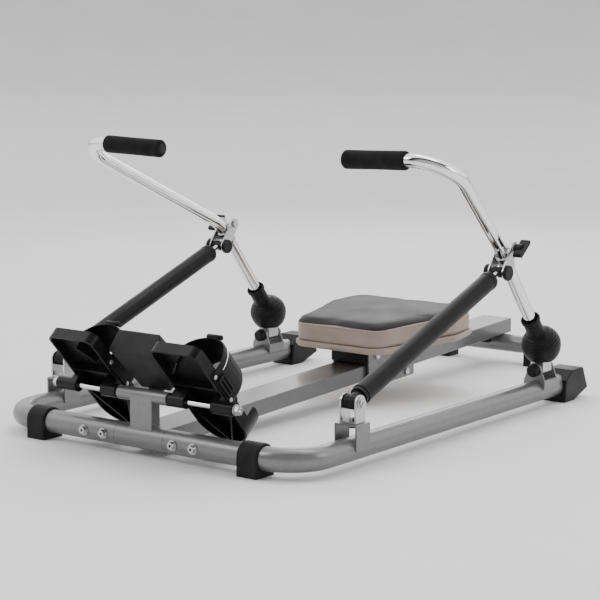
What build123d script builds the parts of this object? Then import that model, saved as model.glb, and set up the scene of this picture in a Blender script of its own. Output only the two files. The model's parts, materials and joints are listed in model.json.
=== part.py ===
"""Rowing machine with two hydraulic oars, a rolling seat and pivoting foot pedals.

Frame: +X is the rower's left as they sit facing the pedals, +Y points from the
pedals to the back of the machine and +Z is up.  The origin is the centre of the
footprint, on the floor.  Lengths are in millimetres.  Stations along the machine
are given as distances behind the axis of the front crossbar.
"""
import os
from math import atan2, cos, degrees, radians, sin

from build123d import *

os.makedirs("parts", exist_ok=True)

# ---------------------------------------------------------------- driving sizes
TRACK = 676.0             # between the axes of the two side tubes
SIDE_LENGTH = 850.0       # crossbar axis to the open ends of the side tubes
TUBE_R = 21.0             # outer radius of the frame tubes
WALL = 2.0                # wall of the frame tubes
TUBE_Z = 32.0             # height of the frame tube axes
BEND_R = 72.0             # bend radius at the front corners
SEAM_X = 56.0             # centre plane to the seams in the crossbar
INSERT_LENGTH = 135.0     # length of each insert that joins the crossbar

RAIL_END = 1172.0         # crossbar axis to the back end of the seat rail
RAIL_WIDTH = 73.0
RAIL_HEIGHT = 31.0
RAIL_FRONT_TOP = 46.0     # height of the rail's top face at the crossbar
RAIL_RISE = 48.0          # how much higher the rail's back end stands
STABILISER_Y = 1150.0     # crossbar axis to the rear stabiliser axis
STABILISER_LENGTH = 270.0
STABILISER_R = 19.0

FOOT_WALL = 4.5           # rubber over the tubes
FOOT_LENGTH = 44.0
CAP_WIDTH = 56.0          # across the wedge caps on the side tubes
CAP_REACH = 75.0          # how far a wedge cap stands behind its tube's end
CAP_HEIGHT = 62.0

AXLE_Z = 106.0            # pedal axle height above the floor
AXLE_R = 5.0
SLEEVE_R = 12.0
SLEEVE_LENGTH = 114.0
POST_WIDTH = 50.0
POST_DEPTH = 25.0

PEDAL_X = 118.0           # centre plane to the middle of a pedal
PEDAL_WIDTH = 104.0
PEDAL_TOE = 117.0         # axle to the toe edge, along the footplate
PEDAL_HEEL = 128.0        # axle to the heel edge, along the footplate
PEDAL_TILT = 48.0         # footplate above the horizontal, in degrees
PEDAL_UNDER = 15.0        # axle to the underside of the footplate
PEDAL_DEPTH = 21.0        # thickness of the ribbed footplate
HEEL_WALL = 4.0
HEEL_CUP = 22.0           # height of the heel cup above the footplate
BOSS_R = 12.0
OUTER_BOSS_END = 202.0    # centre plane to the outer end of the pedal boss
STRAP_RISE = 70.0         # footplate to the top of the strap
STRAP_WIDTH = 76.0
STRAP_T = 3.0

SEAT_Y = 708.0            # crossbar axis to the middle of the seat at rest
SEAT_LENGTH = 300.0
SEAT_FRONT_WIDTH = 212.0
SEAT_REAR_WIDTH = 325.0
SEAT_CORNER_R = 42.0
SEAT_CLEAR = 44.0         # rail top to the underside of the cushion
CUSHION_T = 52.0
BOARD_T = 8.0
CARRIAGE_LENGTH = 160.0
CARRIAGE_FORWARD = 12.0   # how far the carriage sits ahead of the seat's middle
PLATE_T = 3.0             # sheet steel of carriage, clevises and brackets
ROLLER_R = 15.0
KEEPER_R = 5.0            # bars under the rail that hold the carriage down
ROLLER_AXLE_R = 4.0
ROLLER_PITCH = 104.0      # between the front and rear roller axles
GUARD_T = 4.0             # plastic guards on the ends of the carriage
SEAT_FORWARD = 380.0      # how far the seat rolls forward from rest
SEAT_BACK = 350.0         # how far the seat rolls back from rest

ARM_Y = 783.0             # crossbar axis to the oar pivot
ARM_Z = 121.0             # height of the oar pivot
OAR_R = 12.0
OAR_WALL = 2.0
OAR_LEAN = 38.2           # lower part of the oar from the vertical, in degrees
OAR_LOWER = 262.0         # oar pivot to the bend above the clamp
OAR_BEND_R = 75.0
HAND_X = 442.0            # the corner above the grip, from the centre plane
HAND_Y = 287.0
HAND_Z = 515.0
HAND_BEND_R = 66.0
GRIP_R = 17.0
GRIP_LENGTH = 131.0
GRIP_END_X = 218.0        # centre plane to the inner end of the grip
GRIP_DROP = 7.0           # how much lower the inner end of the grip sits
GRIP_BACK = 10.0          # how much further back the inner end of the grip sits

CLAMP_S = 229.6           # oar pivot to the clamp's cylinder pin, along the oar
CLAMP_PIN_OFFSET = 31.0   # oar axis to the cylinder pin
CLAMP_BOLT_S = 245.0      # oar pivot to the clamping bolt, along the oar
CLAMP_BOLT_OFFSET = 20.0  # oar axis to the clamping bolt
CLAMP_COLLAR_R = 14.6
CLEVIS_GAP = 28.0         # between the cheeks of both clevises

CYLINDER_Y = 147.0        # crossbar axis to the lower cylinder pin
CYLINDER_Z = 112.0        # height of the lower cylinder pin
CYLINDER_R = 17.5
CYLINDER_WALL = 2.5
ROD_R = 6.0
PIN_R = 4.0               # cylinder pins and swivel bolts
PIVOT_R = 5.0             # oar pivot pins
SIDE_PLAY = 4.0           # block to clevis cheek, each side, at the upper pin

BOOT_R = 39.5
BOOT_WALL = 3.0
BOOT_NECK_R = 17.0
BOOT_NECK_END = 74.0      # oar pivot to the top of the boot's neck

RUN = 0.05                # radial clearance of a running fit
GAP = 0.3                 # clearance between pieces that move past each other

# ---------------------------------------------------------------- derived places
HALF = TRACK / 2
DEG_U = radians(PEDAL_TILT)
TOE_DIR = (0.0, -cos(DEG_U), sin(DEG_U))       # along the footplate to the toe
SOLE_DIR = (0.0, sin(DEG_U), cos(DEG_U))       # out of the footplate to the shoe
FRONT_REACH = PEDAL_TOE * cos(DEG_U) - PEDAL_UNDER * sin(DEG_U)
REAR_FOOT_R = STABILISER_R + FOOT_WALL
REAR_REACH = max(RAIL_END + PLATE_T, STABILISER_Y + REAR_FOOT_R)
BAR_Y = (FRONT_REACH - REAR_REACH) / 2         # crossbar axis in the part's frame

RAIL_SLOPE = atan2(RAIL_RISE, RAIL_END)


def rail_top(station):
    """Height of the rail's top face at a station behind the crossbar."""
    return RAIL_FRONT_TOP + RAIL_RISE * station / RAIL_END


LEAN = radians(OAR_LEAN)
OAR_DIR = (0.0, -sin(LEAN), cos(LEAN))         # up the lower part of the oar
OAR_BACK = (0.0, cos(LEAN), sin(LEAN))         # square to it, up and rearward
PIVOT = (HALF, BAR_Y + ARM_Y, ARM_Z)


def along(origin, *steps):
    """The point reached from origin by (direction, distance) steps."""
    point = Vector(*origin)
    for direction, distance in steps:
        point += Vector(*direction) * distance
    return point


UPPER_PIN = along(PIVOT, (OAR_DIR, CLAMP_S), (OAR_BACK, -CLAMP_PIN_OFFSET))
CLAMP_BOLT = along(PIVOT, (OAR_DIR, CLAMP_BOLT_S), (OAR_BACK, CLAMP_BOLT_OFFSET))
OAR_BEND = along(PIVOT, (OAR_DIR, OAR_LOWER))
LOWER_PIN = Vector(HALF, BAR_Y + CYLINDER_Y, CYLINDER_Z)
CYL_LENGTH = (UPPER_PIN - LOWER_PIN).length
CYL_DIR = (UPPER_PIN - LOWER_PIN).normalized()


# ---------------------------------------------------------------- small helpers
def save(piece, name):
    """Label a finished builder and write it as one STEP file."""
    piece.part.label = name
    export_step(piece.part, f"parts/{name}.step")


def save_pair(right, name):
    """Write a piece of the +X side and its mirror image."""
    save(right, f"{name}_right")
    with BuildPart() as left:
        mirror(right.part, about=Plane.YZ)
    save(left, f"{name}_left")


def save_both(right, name):
    """Write a piece and its mirror image as two solids of one node."""
    with BuildPart() as both:
        add(right.part)
        mirror(right.part, about=Plane.YZ)
    save(both, name)


def across(x, y, z):
    """A plane square to X whose local x is +Y and local y is +Z."""
    return Plane(origin=(x, y, z), x_dir=(0, 1, 0), z_dir=(1, 0, 0))


def facing(x, y, z):
    """A plane square to Y, facing the back, whose local x is -X."""
    return Plane(origin=(x, y, z), x_dir=(-1, 0, 0), z_dir=(0, 1, 0))


def rod_x(x0, x1, y, z, radius, mode=Mode.ADD):
    """A round bar along X from x0 to x1."""
    with BuildSketch(across(x0, y, z)) as section:
        Circle(radius)
    extrude(section.sketch, amount=x1 - x0, mode=mode)


def rod_y(y0, y1, x, z, radius, mode=Mode.ADD):
    """A round bar along Y from y0 to y1."""
    with BuildSketch(facing(x, y0, z)) as section:
        Circle(radius)
    extrude(section.sketch, amount=y1 - y0, mode=mode)


def hex_x(x0, x1, y, z, radius):
    """A hexagonal nut along X."""
    with BuildSketch(across(x0, y, z)) as section:
        RegularPolygon(radius, 6)
    extrude(section.sketch, amount=x1 - x0)


def rod_between(start, direction, s0, s1, radius, mode=Mode.ADD):
    """A round bar along a direction, between two distances from start."""
    base = along(start, (direction, s0))
    with BuildSketch(Plane(origin=base, z_dir=direction)) as section:
        Circle(radius)
    extrude(section.sketch, amount=s1 - s0, mode=mode)


def side_profile(points, x0, x1, mode=Mode.ADD):
    """Extrude a (station, height) outline from x0 to x1."""
    with BuildSketch(across(x0, BAR_Y, 0)) as section:
        with BuildLine():
            Polyline(*points, close=True)
        make_face()
    extrude(section.sketch, amount=x1 - x0, mode=mode)


# ---------------------------------------------------------------- frame tubes
BOLT_XS = (SEAM_X + 24, SEAM_X + 70)           # frame bolts, from the centre plane
BOLT_R = 4.0
BOLT_HEAD_R = 8.0
BOLT_HEAD_T = 5.5
NUT_T = 6.5

with BuildPart() as crossbar_centre:
    rod_x(-SEAM_X, SEAM_X, BAR_Y, TUBE_Z, TUBE_R)
    rod_x(-SEAM_X, SEAM_X, BAR_Y, TUBE_Z, TUBE_R - WALL, Mode.SUBTRACT)
save(crossbar_centre, "crossbar_centre")

with BuildPart() as side_tube:
    with BuildLine(Plane.XY.offset(TUBE_Z)) as side_path:
        FilletPolyline(
            (SEAM_X, BAR_Y), (HALF, BAR_Y), (HALF, BAR_Y + SIDE_LENGTH), radius=BEND_R
        )
    with BuildSketch(Plane(origin=side_path.line @ 0, z_dir=side_path.line % 0)):
        Circle(TUBE_R)
        Circle(TUBE_R - WALL, mode=Mode.SUBTRACT)
    sweep()
    for bolt_x in BOLT_XS:
        rod_y(BAR_Y - 2 * TUBE_R, BAR_Y + 2 * TUBE_R, bolt_x, TUBE_Z, BOLT_R + 0.2, Mode.SUBTRACT)
save_pair(side_tube, "side_tube")

INSERT_R = TUBE_R - WALL - 0.1
INSERT_X0 = SEAM_X + 92 - INSERT_LENGTH
with BuildPart() as joint_insert:
    rod_x(INSERT_X0, INSERT_X0 + INSERT_LENGTH, BAR_Y, TUBE_Z, INSERT_R)
    rod_x(INSERT_X0, INSERT_X0 + INSERT_LENGTH, BAR_Y, TUBE_Z, INSERT_R - WALL, Mode.SUBTRACT)
    for bolt_x in BOLT_XS:
        rod_y(BAR_Y - 2 * TUBE_R, BAR_Y + 2 * TUBE_R, bolt_x, TUBE_Z, BOLT_R + 0.2, Mode.SUBTRACT)
save_both(joint_insert, "joint_inserts")

AXLE_NUT_T = 8.0
AXLE_NUT_X = OUTER_BOSS_END + 2 * GAP + 2.0
AXLE_END = AXLE_NUT_X + AXLE_NUT_T + 2
with BuildPart() as frame_fasteners:
    for bolt_x in BOLT_XS:
        head_y = BAR_Y - TUBE_R
        with BuildSketch(Plane(origin=(bolt_x, head_y, TUBE_Z), x_dir=(1, 0, 0), z_dir=(0, 1, 0))):
            Circle(BOLT_HEAD_R + 1.5)
        extrude(amount=-1.5)
        with BuildSketch(Plane(origin=(bolt_x, head_y - 1.5, TUBE_Z), x_dir=(1, 0, 0), z_dir=(0, -1, 0))):
            Circle(BOLT_HEAD_R)
        extrude(amount=BOLT_HEAD_T, taper=18)
        rod_y(head_y, BAR_Y + TUBE_R + 1, bolt_x, TUBE_Z, BOLT_R)
    for bolt_x in BOLT_XS:
        nut_y = BAR_Y + TUBE_R
        with BuildSketch(facing(bolt_x, nut_y, TUBE_Z)):
            Circle(BOLT_HEAD_R + 1.5)
        extrude(amount=1.5)
        with BuildSketch(facing(bolt_x, nut_y + 1.5, TUBE_Z)):
            RegularPolygon(BOLT_HEAD_R - 0.5, 6)
        extrude(amount=NUT_T)
        rod_y(nut_y, nut_y + 1.5 + NUT_T + 2, bolt_x, TUBE_Z, BOLT_R)
    rod_x(AXLE_NUT_X - 2, AXLE_NUT_X, BAR_Y, AXLE_Z, 10.0)
    hex_x(AXLE_NUT_X, AXLE_NUT_X + AXLE_NUT_T, BAR_Y, AXLE_Z, 9.0)
    rod_x(AXLE_NUT_X - 4, AXLE_END + 1, BAR_Y, AXLE_Z, AXLE_R, Mode.SUBTRACT)
save_both(frame_fasteners, "frame_fasteners")

# ---------------------------------------------------------------- feet and caps
FOOT_X = HALF - BEND_R - FOOT_LENGTH / 2


def saddle_foot(x0, station, axis_z, tube_r):
    """A rubber saddle that hugs a cross tube and stands on the floor."""
    outer = tube_r + FOOT_WALL
    with BuildSketch(across(x0, BAR_Y + station, 0)) as section:
        with Locations((0, axis_z)):
            Circle(outer)
        with Locations((0, axis_z / 2)):
            Rectangle(2 * outer, axis_z)
    extrude(section.sketch, amount=FOOT_LENGTH)


CAP_FRONT = SIDE_LENGTH - 18                   # where the cap's socket begins
CAP_BACK = SIDE_LENGTH + CAP_REACH
with BuildPart() as rear_cap:
    side_profile(
        [
            (CAP_FRONT, 0),
            (CAP_BACK - 55, 0),
            (CAP_BACK, 18),
            (CAP_BACK - 20, CAP_HEIGHT),
            (CAP_FRONT + 30, CAP_HEIGHT),
            (CAP_FRONT + 4, CAP_HEIGHT - 18),
        ],
        HALF - CAP_WIDTH / 2,
        HALF + CAP_WIDTH / 2,
    )
    fillet(rear_cap.edges(), 3)
    rod_y(BAR_Y + CAP_FRONT - 5, BAR_Y + SIDE_LENGTH, HALF, TUBE_Z, TUBE_R + 0.02, Mode.SUBTRACT)
save_both(rear_cap, "rear_caps")

with BuildPart() as rear_stabiliser:
    STAB_Z = rail_top(STABILISER_Y) - RAIL_HEIGHT - STABILISER_R / cos(RAIL_SLOPE)
    stab_half = STABILISER_LENGTH / 2
    rod_x(-stab_half, stab_half, BAR_Y + STABILISER_Y, STAB_Z, STABILISER_R)
    rod_x(-stab_half, stab_half, BAR_Y + STABILISER_Y, STAB_Z, STABILISER_R - WALL, Mode.SUBTRACT)
save(rear_stabiliser, "rear_stabiliser")

with BuildPart() as floor_foot:
    saddle_foot(FOOT_X - FOOT_LENGTH / 2, 0, TUBE_Z, TUBE_R)
    foot_x0 = stab_half - FOOT_LENGTH + 5
    saddle_foot(foot_x0, STABILISER_Y, STAB_Z, STABILISER_R)
    fillet(floor_foot.edges().filter_by(Axis.Z), 4)
    rod_x(FOOT_X - FOOT_LENGTH, FOOT_X + FOOT_LENGTH, BAR_Y, TUBE_Z, TUBE_R + 0.02, Mode.SUBTRACT)
    rod_x(foot_x0 - 1, stab_half, BAR_Y + STABILISER_Y, STAB_Z, STABILISER_R + 0.02, Mode.SUBTRACT)
save_both(floor_foot, "floor_feet")

# ---------------------------------------------------------------- seat rail
rail_half = RAIL_WIDTH / 2
RAIL_WALL = 2.2
with BuildPart() as seat_rail:
    side_profile(
        [
            (0, rail_top(0)),
            (RAIL_END, rail_top(RAIL_END)),
            (RAIL_END, rail_top(RAIL_END) - RAIL_HEIGHT),
            (0, rail_top(0) - RAIL_HEIGHT),
        ],
        -rail_half,
        rail_half,
    )
    long_edges = [e for e in seat_rail.edges() if e.length > RAIL_END / 2]
    fillet(long_edges, 2.0)
    side_profile(
        [
            (-1, rail_top(-1) - RAIL_WALL),
            (RAIL_END + 1, rail_top(RAIL_END + 1) - RAIL_WALL),
            (RAIL_END + 1, rail_top(RAIL_END + 1) - RAIL_HEIGHT + RAIL_WALL),
            (-1, rail_top(-1) - RAIL_HEIGHT + RAIL_WALL),
        ],
        RAIL_WALL - rail_half,
        rail_half - RAIL_WALL,
        Mode.SUBTRACT,
    )
    rod_x(-RAIL_WIDTH, RAIL_WIDTH, BAR_Y, TUBE_Z, TUBE_R + 0.02, Mode.SUBTRACT)
    side_profile(
        [(-1, 0), (TUBE_R - 7, 0), (TUBE_R - 7, 2 * AXLE_Z), (-1, 2 * AXLE_Z)],
        -RAIL_WIDTH,
        RAIL_WIDTH,
        Mode.SUBTRACT,
    )
save(seat_rail, "seat_rail")

with BuildPart() as rail_end_cap:
    cap_low = rail_top(RAIL_END) - RAIL_HEIGHT
    side_profile(
        [
            (RAIL_END, cap_low),
            (RAIL_END + PLATE_T, cap_low),
            (RAIL_END + PLATE_T, cap_low + RAIL_HEIGHT),
            (RAIL_END, cap_low + RAIL_HEIGHT),
        ],
        -rail_half,
        rail_half,
    )
    fillet(rail_end_cap.edges().filter_by(Axis.Y), 2.0)
    tongue = 14.0
    inset = RAIL_WALL + 0.2
    side_profile(
        [
            (RAIL_END - tongue, rail_top(RAIL_END - tongue) - RAIL_HEIGHT + inset),
            (RAIL_END, cap_low + inset),
            (RAIL_END, cap_low + RAIL_HEIGHT - inset),
            (RAIL_END - tongue, rail_top(RAIL_END - tongue) - inset),
        ],
        inset - rail_half,
        rail_half - inset,
    )
save(rail_end_cap, "rail_end_cap")

# ---------------------------------------------------------------- pedal post and axle
with BuildPart() as pedal_post:
    post_low = TUBE_Z + TUBE_R / 2
    with BuildSketch(Plane(origin=(0, BAR_Y, post_low))):
        RectangleRounded(POST_WIDTH, POST_DEPTH, 3)
        Rectangle(POST_WIDTH - 2 * WALL, POST_DEPTH - 2 * WALL, mode=Mode.SUBTRACT)
    extrude(amount=AXLE_Z - post_low)
    rod_x(-POST_WIDTH, POST_WIDTH, BAR_Y, TUBE_Z, TUBE_R + 0.02, Mode.SUBTRACT)
    rod_x(-SLEEVE_LENGTH / 2, SLEEVE_LENGTH / 2, BAR_Y, AXLE_Z, SLEEVE_R)
    rod_x(-SLEEVE_LENGTH, SLEEVE_LENGTH, BAR_Y, AXLE_Z, AXLE_R + 0.02, Mode.SUBTRACT)
save(pedal_post, "pedal_post")

with BuildPart() as pedal_axle:
    rod_x(-AXLE_END, AXLE_END, BAR_Y, AXLE_Z, AXLE_R)
    chamfer(pedal_axle.edges(), 0.8)
save(pedal_axle, "pedal_axle")

# ---------------------------------------------------------------- console
CONSOLE_TOP = (-12.0, 222.0)        # (station, height) of the corners, side view
CONSOLE_FRONT = (-26.0, 184.0)
CONSOLE_NECK = (30.0, 112.0)
CONSOLE_REAR = (52.0, 132.0)
CONSOLE_WIDTHS = (45.0, 60.0, 33.0)  # half widths at the top, front corner and neck

with BuildPart() as console_housing:
    side_profile(
        [CONSOLE_TOP, CONSOLE_FRONT, CONSOLE_NECK, CONSOLE_REAR], -CONSOLE_WIDTHS[1], CONSOLE_WIDTHS[1]
    )
    with BuildSketch(facing(0, BAR_Y + 2 * CONSOLE_FRONT[0], 0)):
        with BuildLine():
            half_outline = [
                (CONSOLE_WIDTHS[0], CONSOLE_TOP[1]),
                (CONSOLE_WIDTHS[1], CONSOLE_FRONT[1]),
                (CONSOLE_WIDTHS[2], CONSOLE_NECK[1]),
            ]
            Polyline(*half_outline, *[(-x, z) for x, z in reversed(half_outline)], close=True)
        make_face()
    extrude(amount=200, mode=Mode.INTERSECT)
    fillet(console_housing.edges(), 2.5)
    face_run = Vector(0, CONSOLE_REAR[0] - CONSOLE_TOP[0], CONSOLE_REAR[1] - CONSOLE_TOP[1])
    face_out = Vector(0, -face_run.Z, face_run.Y).normalized()
    screen_mid = Vector(0, BAR_Y + CONSOLE_TOP[0], CONSOLE_TOP[1]) + face_run * 0.42
    button_mid = Vector(0, BAR_Y + CONSOLE_TOP[0], CONSOLE_TOP[1]) + face_run * 0.80
    SCREEN_T = 1.6
    BUTTON_R = 8.0
    BUTTON_T = 6.0
    BUTTON_PROUD = 1.6
    with BuildSketch(Plane(origin=screen_mid, x_dir=(1, 0, 0), z_dir=face_out)):
        RectangleRounded(66, 40, 3)
    extrude(amount=-SCREEN_T, mode=Mode.SUBTRACT)
    with BuildSketch(Plane(origin=button_mid, x_dir=(1, 0, 0), z_dir=face_out)):
        Circle(BUTTON_R + GAP)
    extrude(amount=-(BUTTON_T + 0.4), mode=Mode.SUBTRACT)
save(console_housing, "console_housing")

with BuildPart() as console_screen:
    with BuildSketch(Plane(origin=screen_mid, x_dir=(1, 0, 0), z_dir=face_out)):
        RectangleRounded(65.6, 39.6, 2.8)
    extrude(amount=-SCREEN_T)
save(console_screen, "console_screen")

with BuildPart() as console_button:
    with BuildSketch(Plane(origin=button_mid + face_out * BUTTON_PROUD, x_dir=(1, 0, 0), z_dir=face_out)):
        Circle(BUTTON_R)
    extrude(amount=-BUTTON_T)
    fillet(console_button.faces().sort_by(Axis.Z)[-1].edges(), 0.8)
save(console_button, "console_button")

with BuildPart() as console_bracket:
    post_back = POST_DEPTH / 2
    neck_run = Vector(0, CONSOLE_REAR[0] - CONSOLE_NECK[0], CONSOLE_REAR[1] - CONSOLE_NECK[1]).normalized()
    neck_y, neck_z = CONSOLE_NECK
    down_y, down_z = neck_run.Z * PLATE_T, -neck_run.Y * PLATE_T
    reach = 24.0
    side_profile(
        [
            (post_back, neck_z - 34),
            (post_back + PLATE_T, neck_z - 34),
            (post_back + PLATE_T, neck_z - 17),
            (neck_y + down_y, neck_z + down_z),
            (neck_y + down_y + neck_run.Y * reach, neck_z + down_z + neck_run.Z * reach),
            (neck_y + neck_run.Y * reach, neck_z + neck_run.Z * reach),
            (neck_y, neck_z),
            (post_back, neck_z - 13),
        ],
        -17,
        17,
    )
    rod_x(-20, 20, BAR_Y, AXLE_Z, SLEEVE_R + 0.02, Mode.SUBTRACT)
save(console_bracket, "console_bracket")

# ---------------------------------------------------------------- pedals
def sole_plane(height):
    """Plane of the right footplate: local x to the toe, local y to +X."""
    origin = along((PEDAL_X, BAR_Y, AXLE_Z), (SOLE_DIR, height))
    return Plane(origin=origin, x_dir=TOE_DIR, z_dir=SOLE_DIR)


def sole_outline(shrink=0.0):
    """Footplate outline with a round heel and softly rounded toe corners."""
    half = PEDAL_WIDTH / 2 - shrink
    heel_mid = half - (PEDAL_HEEL - shrink)
    with BuildSketch(mode=Mode.PRIVATE) as outline:
        with Locations(((heel_mid + PEDAL_TOE - shrink) / 2, 0)):
            Rectangle(PEDAL_TOE - shrink - heel_mid, 2 * half)
        fillet(outline.vertices().group_by(Axis.X)[-1], 16 - shrink)
        with Locations((heel_mid, 0)):
            Circle(half)
    return outline.sketch


SOLE_SKIN = 5.0
RIB_T = 3.0
RIB_AT = 26.0                        # axle to the ribs that cross the underside
RIB_RUN = PEDAL_HEEL - HEEL_WALL / 2 - RIB_AT
RIB_SIDE = (PEDAL_WIDTH - HEEL_WALL) / 2
SOLE_TOP = PEDAL_UNDER + PEDAL_DEPTH
INNER_BOSS = (PEDAL_X - PEDAL_WIDTH / 2 - 5, PEDAL_X - 22)
OUTER_BOSS = (PEDAL_X + 38, OUTER_BOSS_END)
with BuildPart() as pedal:
    with BuildSketch(sole_plane(PEDAL_UNDER)):
        add(sole_outline())
    extrude(amount=PEDAL_DEPTH)
    with BuildSketch(sole_plane(PEDAL_UNDER)):
        add(sole_outline(HEEL_WALL))
    extrude(amount=PEDAL_DEPTH - SOLE_SKIN, mode=Mode.SUBTRACT)
    with BuildSketch(sole_plane(PEDAL_UNDER)):
        for rib_u in (-RIB_AT, RIB_AT):
            with Locations((rib_u, 0)):
                Rectangle(RIB_T, PEDAL_WIDTH - HEEL_WALL)
        for rib_v in (-RIB_SIDE / 2, RIB_SIDE / 2):
            rib_turn = degrees(atan2(2 * rib_v, RIB_RUN))
            with Locations(Location((-RIB_AT - RIB_RUN / 2, rib_v), rib_turn)):
                Rectangle((RIB_RUN**2 + RIB_SIDE**2) ** 0.5, RIB_T)
        with Locations(Location((RIB_AT + 48, -16), 40)):
            Rectangle(44, RIB_T)
    extrude(amount=PEDAL_DEPTH - SOLE_SKIN + 1)
    with BuildSketch(sole_plane(SOLE_TOP)):
        add(sole_outline())
        add(sole_outline(HEEL_WALL), mode=Mode.SUBTRACT)
        with Locations((PEDAL_TOE - 62, 0)):
            Rectangle(2 * (PEDAL_TOE + 10), 2 * PEDAL_WIDTH, mode=Mode.SUBTRACT)
    extrude(amount=HEEL_CUP)
    for boss_x0, boss_x1 in (INNER_BOSS, OUTER_BOSS):
        rod_x(boss_x0, boss_x1, BAR_Y, AXLE_Z, BOSS_R)
        web_x0 = max(boss_x0, PEDAL_X - PEDAL_WIDTH / 2)
        web_x1 = min(boss_x1, PEDAL_X + PEDAL_WIDTH / 2)
        with BuildSketch(sole_plane(0)):
            with Locations((0, (web_x0 + web_x1) / 2 - PEDAL_X)):
                Rectangle(2 * BOSS_R, web_x1 - web_x0)
        extrude(amount=SOLE_TOP - 2)
    rod_x(PEDAL_X - PEDAL_WIDTH, OUTER_BOSS_END + 10, BAR_Y, AXLE_Z, AXLE_R + RUN, Mode.SUBTRACT)
save_pair(pedal, "pedal")

STRAP_U = 20.0                       # axle to the middle of the strap, towards the toe
STRAP_LEG = 26.0                     # straight ends beside the footplate
strap_in = PEDAL_WIDTH / 2 + 0.02
STRAP_FROM = PEDAL_UNDER + 4         # lower edge of the strap's ends
strap_base = along(
    (PEDAL_X, BAR_Y, AXLE_Z), (SOLE_DIR, STRAP_FROM), (TOE_DIR, STRAP_U - STRAP_WIDTH / 2)
)
with BuildPart() as foot_strap:
    arch_rise = SOLE_TOP + STRAP_RISE - STRAP_FROM - STRAP_LEG
    with BuildSketch(Plane(origin=strap_base, x_dir=(1, 0, 0), z_dir=TOE_DIR)):
        for grow, mode in ((STRAP_T, Mode.ADD), (0, Mode.SUBTRACT)):
            with Locations((0, STRAP_LEG)):
                Ellipse(strap_in + grow, arch_rise - STRAP_T + grow, mode=mode)
            with Locations((0, STRAP_LEG / 2)):
                Rectangle(2 * (strap_in + grow), STRAP_LEG, mode=mode)
        with Locations((0, -arch_rise)):
            Rectangle(4 * strap_in, 2 * arch_rise, mode=Mode.SUBTRACT)
    extrude(amount=STRAP_WIDTH)
save_pair(foot_strap, "foot_strap")

with BuildPart() as strap_buckle:
    buckle_at = along(strap_base, (TOE_DIR, STRAP_WIDTH / 2), (SOLE_DIR, STRAP_LEG / 2 + 1))
    buckle_at += Vector(strap_in + STRAP_T, 0, 0)
    with BuildSketch(Plane(origin=buckle_at, x_dir=TOE_DIR, z_dir=(1, 0, 0))):
        RectangleRounded(44, 20, 3)
        with Locations((0, 4), (0, -4)):
            RectangleRounded(34, 4, 1.5, mode=Mode.SUBTRACT)
    extrude(amount=3)
save_pair(strap_buckle, "strap_buckle")

# ---------------------------------------------------------------- seat and carriage
def seat_plane(height, ahead=0.0):
    """Plane parallel to the rail's top: local x is +X, local y runs to the back."""
    station = SEAT_Y - ahead
    origin = Vector(0, BAR_Y + station, rail_top(station))
    normal = Vector(0, -sin(RAIL_SLOPE), cos(RAIL_SLOPE))
    return Plane(origin=origin + normal * height, x_dir=(1, 0, 0), z_dir=normal)


def seat_outline(shrink=0.0):
    """Seat seen from above: narrow in front, wide behind, well rounded."""
    half_length = SEAT_LENGTH / 2 - shrink
    front = SEAT_FRONT_WIDTH / 2 - shrink
    rear = SEAT_REAR_WIDTH / 2 - shrink
    with BuildSketch(mode=Mode.PRIVATE) as outline:
        with BuildLine():
            Polyline(
                (-front, -half_length),
                (front, -half_length),
                (rear, half_length - SEAT_LENGTH * 0.3),
                (rear - 14, half_length),
                (14 - rear, half_length),
                (-rear, half_length - SEAT_LENGTH * 0.3),
                close=True,
            )
        make_face()
        fillet(outline.vertices(), SEAT_CORNER_R - shrink)
    return outline.sketch


with BuildPart() as seat_cushion:
    with BuildSketch(seat_plane(SEAT_CLEAR)):
        add(seat_outline())
    extrude(amount=CUSHION_T)
    fillet(seat_cushion.faces().sort_by(Axis.Z)[-1].edges(), 12)
save(seat_cushion, "seat_cushion")

BOARD_INSET = 12.0
with BuildPart() as seat_board:
    with BuildSketch(seat_plane(SEAT_CLEAR - BOARD_T)):
        add(seat_outline(BOARD_INSET))
    extrude(amount=BOARD_T)
save(seat_board, "seat_board")

PLATE_IN = rail_half + 4.5                     # inner face of a carriage plate
PLATE_LOW = RAIL_HEIGHT + 2 * KEEPER_R + 6
TOP_AXLE = ROLLER_R + 0.1                      # above the rail's top face
LOW_AXLE = -(RAIL_HEIGHT + KEEPER_R + GAP)
AXLE_STATIONS = (-ROLLER_PITCH / 2, ROLLER_PITCH / 2)


def carriage_across(x):
    """Plane square to X in the carriage: local x to the back, local y up."""
    middle = seat_plane(0, CARRIAGE_FORWARD)
    back = Vector(0, cos(RAIL_SLOPE), sin(RAIL_SLOPE))
    return Plane(origin=middle.origin + Vector(x, 0, 0), x_dir=back, z_dir=(1, 0, 0))


def carriage_bar(x0, x1, back, height, radius, mode=Mode.ADD):
    """A round bar along X at a place in the carriage."""
    with BuildSketch(carriage_across(x0)) as section:
        with Locations((back, height)):
            Circle(radius)
    extrude(section.sketch, amount=x1 - x0, mode=mode)


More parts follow.
